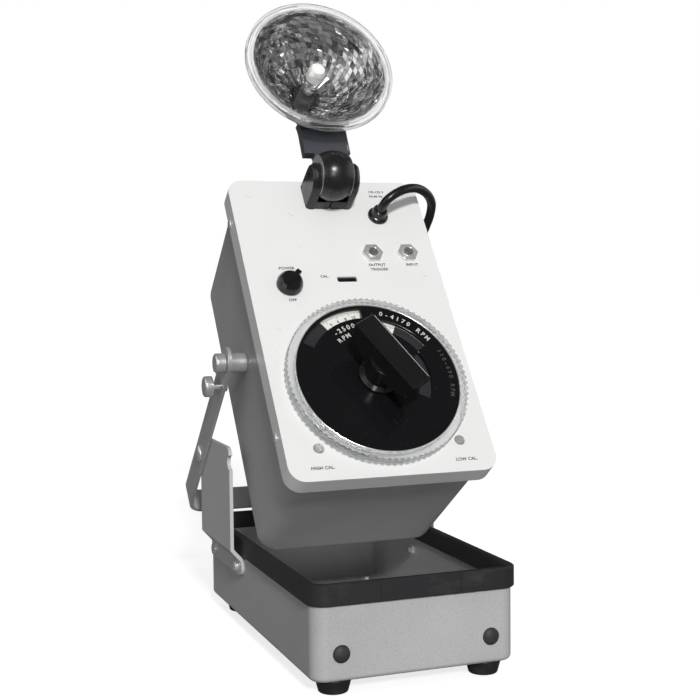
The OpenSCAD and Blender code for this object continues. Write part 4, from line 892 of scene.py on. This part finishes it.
# ---------------------------------------------------------------- scale under the windows
def arc_band(inner, outer, start, end, low, high, steps):
    """A flat band round the dial's axis, in millimetres and degrees."""
    bpy.ops.object.select_all(action="DESELECT")
    bpy.ops.mesh.primitive_plane_add(size=1, location=(0, 0, 0))
    piece = bpy.context.object
    edit(piece, "VERT")
    bpy.ops.mesh.select_all(action="SELECT")
    bpy.ops.mesh.delete(type="ONLY_FACE")
    bpy.ops.mesh.select_all(action="SELECT")
    bpy.ops.mesh.delete(type="VERT")
    bpy.ops.object.mode_set(mode="OBJECT")
    mesh = piece.data
    mesh.clear_geometry()
    a = radians(start)
    spots = [(inner, low), (outer, low), (outer, high), (inner, high)]
    mesh.from_pydata([(r * cos(a) * MM, r * sin(a) * MM, h * MM) for r, h in spots], [], [(0, 1, 2, 3)])
    edit(piece, "FACE")
    bpy.ops.mesh.select_all(action="SELECT")
    bpy.ops.mesh.spin(steps=steps, angle=radians(start - end), center=(0, 0, 0), axis=(0, 0, 1))
    bpy.ops.mesh.select_all(action="SELECT")
    bpy.ops.mesh.normals_make_consistent(inside=False)
    done(piece, 30)
    return piece


disc_h = 6.22
bands = joined([arc_band(43.45, 51.0, -160, 124, disc_h, disc_h + 0.05, 60),
                arc_band(35.0, 43.3, 61, 330, disc_h, disc_h + 0.05, 60)])
finish_piece(settle(bands, dial_frame), "scale_bands", scale_print, "rpm_dial")
ticks = []
for k in range(-140, 124):
    long = 2.6 if k % 10 == 0 else 1.9 if k % 5 == 0 else 1.2
    if 70 <= k <= 124:
        ticks.append(arc_band(50.4 - long, 50.4, k - 0.14, k + 0.14, disc_h + 0.05, disc_h + 0.08, 1))
for k in range(61, 95):
    long = 2.4 if k % 5 == 0 else 1.3
    ticks.append(arc_band(42.2 - long, 42.2, k - 0.16, k + 0.16, disc_h + 0.05, disc_h + 0.08, 1))
marks = []
for value, angle in zip(("5", "6", "8", "10", "12", "15", "18"), range(118, 75, -7)):
    a = radians(angle)
    marks.append(words(value, 2.8, (45.8 * cos(a), 45.8 * sin(a)), a - pi / 2, disc_h + 0.05))
for value, angle in zip(("8", "10", "12", "15"), range(66, 96, 8)):
    a = radians(angle)
    marks.append(words(value, 2.6, (37.6 * cos(a), 37.6 * sin(a)), a - pi / 2, disc_h + 0.05))
finish_piece(settle(joined(ticks + marks), dial_frame), "scale_marks", ink, "rpm_dial")


# ---------------------------------------------------------------- floor, light and background
def stage_surface(name, camera_glow, camera_share, unseen_share):
    """White to the camera with the object's shadow on it, and grey to all other light."""
    f = Finish(name)
    rays = (f.add("ShaderNodeLightPath", output="Is Camera Ray")
            + f.add("ShaderNodeLightPath", output="Is Transmission Ray"))
    seen = f.between(rays, 0, 1)
    grain = f.between(f.noise(3, 2), 0.3, 0.7)
    glow = f.add("ShaderNodeEmission", {}, {"Color": (1, 1, 1, 1), "Strength": camera_glow})
    lit = f.add("ShaderNodeBsdfDiffuse", {}, {"Color": f.mix(grain, (camera_share,) * 3,
                                                             (camera_share * 1.01,) * 3)})
    white = f.add("ShaderNodeAddShader", {}, {0: glow, 1: lit})
    grey = f.add("ShaderNodeBsdfDiffuse", {}, {"Color": (unseen_share,) * 3 + (1,)})
    whole = f.add("ShaderNodeMixShader", {}, {0: seen, 1: grey, 2: white})
    f.tree.links.new(whole.socket, f.out.inputs["Surface"])
    return f.material


bpy.ops.object.select_all(action="DESELECT")
bpy.ops.mesh.primitive_plane_add(size=14, location=(0, 0, -0.0002))
floor = bpy.context.object
floor.name = "floor"
floor.data.materials.append(stage_surface("floor_paper", 0.78, 0.45, 0.22))

world = bpy.data.worlds.new("studio")
bpy.context.scene.world = world
world.use_nodes = True
air = world.node_tree
air.nodes.clear()


def air_node(kind, settings=None, sockets=None):
    node = air.nodes.new(kind)
    for key, value in (settings or {}).items():
        setattr(node, key, value)
    for key, value in (sockets or {}).items():
        if isinstance(value, bpy.types.NodeSocket):
            air.links.new(value, node.inputs[key])
        else:
            node.inputs[key].default_value = value
    return node


SKY = 0.28
rays = air_node("ShaderNodeLightPath")
direction = air_node("ShaderNodeTexCoord").outputs["Generated"]
rise = air_node("ShaderNodeSeparateXYZ", sockets={0: direction}).outputs[2]
across = air_node("ShaderNodeSeparateXYZ", sockets={0: direction}).outputs[0]


def air_range(value, low, high, top):
    return air_node("ShaderNodeMapRange", sockets={0: value, 1: low, 2: high, 3: 0.0, 4: top}).outputs[0]


def air_maths(operation, first, second):
    return air_node("ShaderNodeMath", {"operation": operation}, {0: first, 1: second}).outputs[0]


left_wall = air_maths("MULTIPLY", air_range(across, -0.55, -0.72, 1.0), air_range(rise, 0.75, 0.55, 1.0))
right_strip = air_maths("MULTIPLY", air_range(across, 0.72, 0.82, 0.8), air_range(rise, 0.7, 0.5, 1.0))
room = air_maths("ADD", air_maths("MAXIMUM", left_wall, right_strip), 0.07)
even = air_node("ShaderNodeMix", {"data_type": "RGBA"}, {
    0: rays.outputs["Is Glossy Ray"], 6: (SKY, SKY, SKY, 1), 7: room}).outputs[2]
through = air_node("ShaderNodeMath", {"operation": "MAXIMUM"}, {
    0: rays.outputs["Is Camera Ray"], 1: rays.outputs["Is Transmission Ray"]}).outputs[0]
seen = air_node("ShaderNodeMix", {"data_type": "RGBA"}, {0: through, 6: even, 7: (1, 1, 1, 1)}).outputs[2]
back = air_node("ShaderNodeBackground", sockets={"Color": seen, "Strength": 1.0})
air_node("ShaderNodeOutputWorld", sockets={"Surface": back.outputs[0]})




def sun(name, towards, strength, spread):
    light = bpy.data.lights.new(name, "SUN")
    light.energy = strength
    light.angle = radians(spread)
    lamp = bpy.data.objects.new(name, light)
    bpy.context.collection.objects.link(lamp)
    lamp.rotation_mode = "QUATERNION"
    lamp.rotation_quaternion = (-Vector(towards)).to_track_quat("-Z", "Y")


sun("key", (-0.13, -0.87, 0.47), 2.15, 8)
sun("low_fill", (-0.22, -0.97, 0.12), 0.5, 10)

bpy.context.scene.view_settings.view_transform = "Standard"
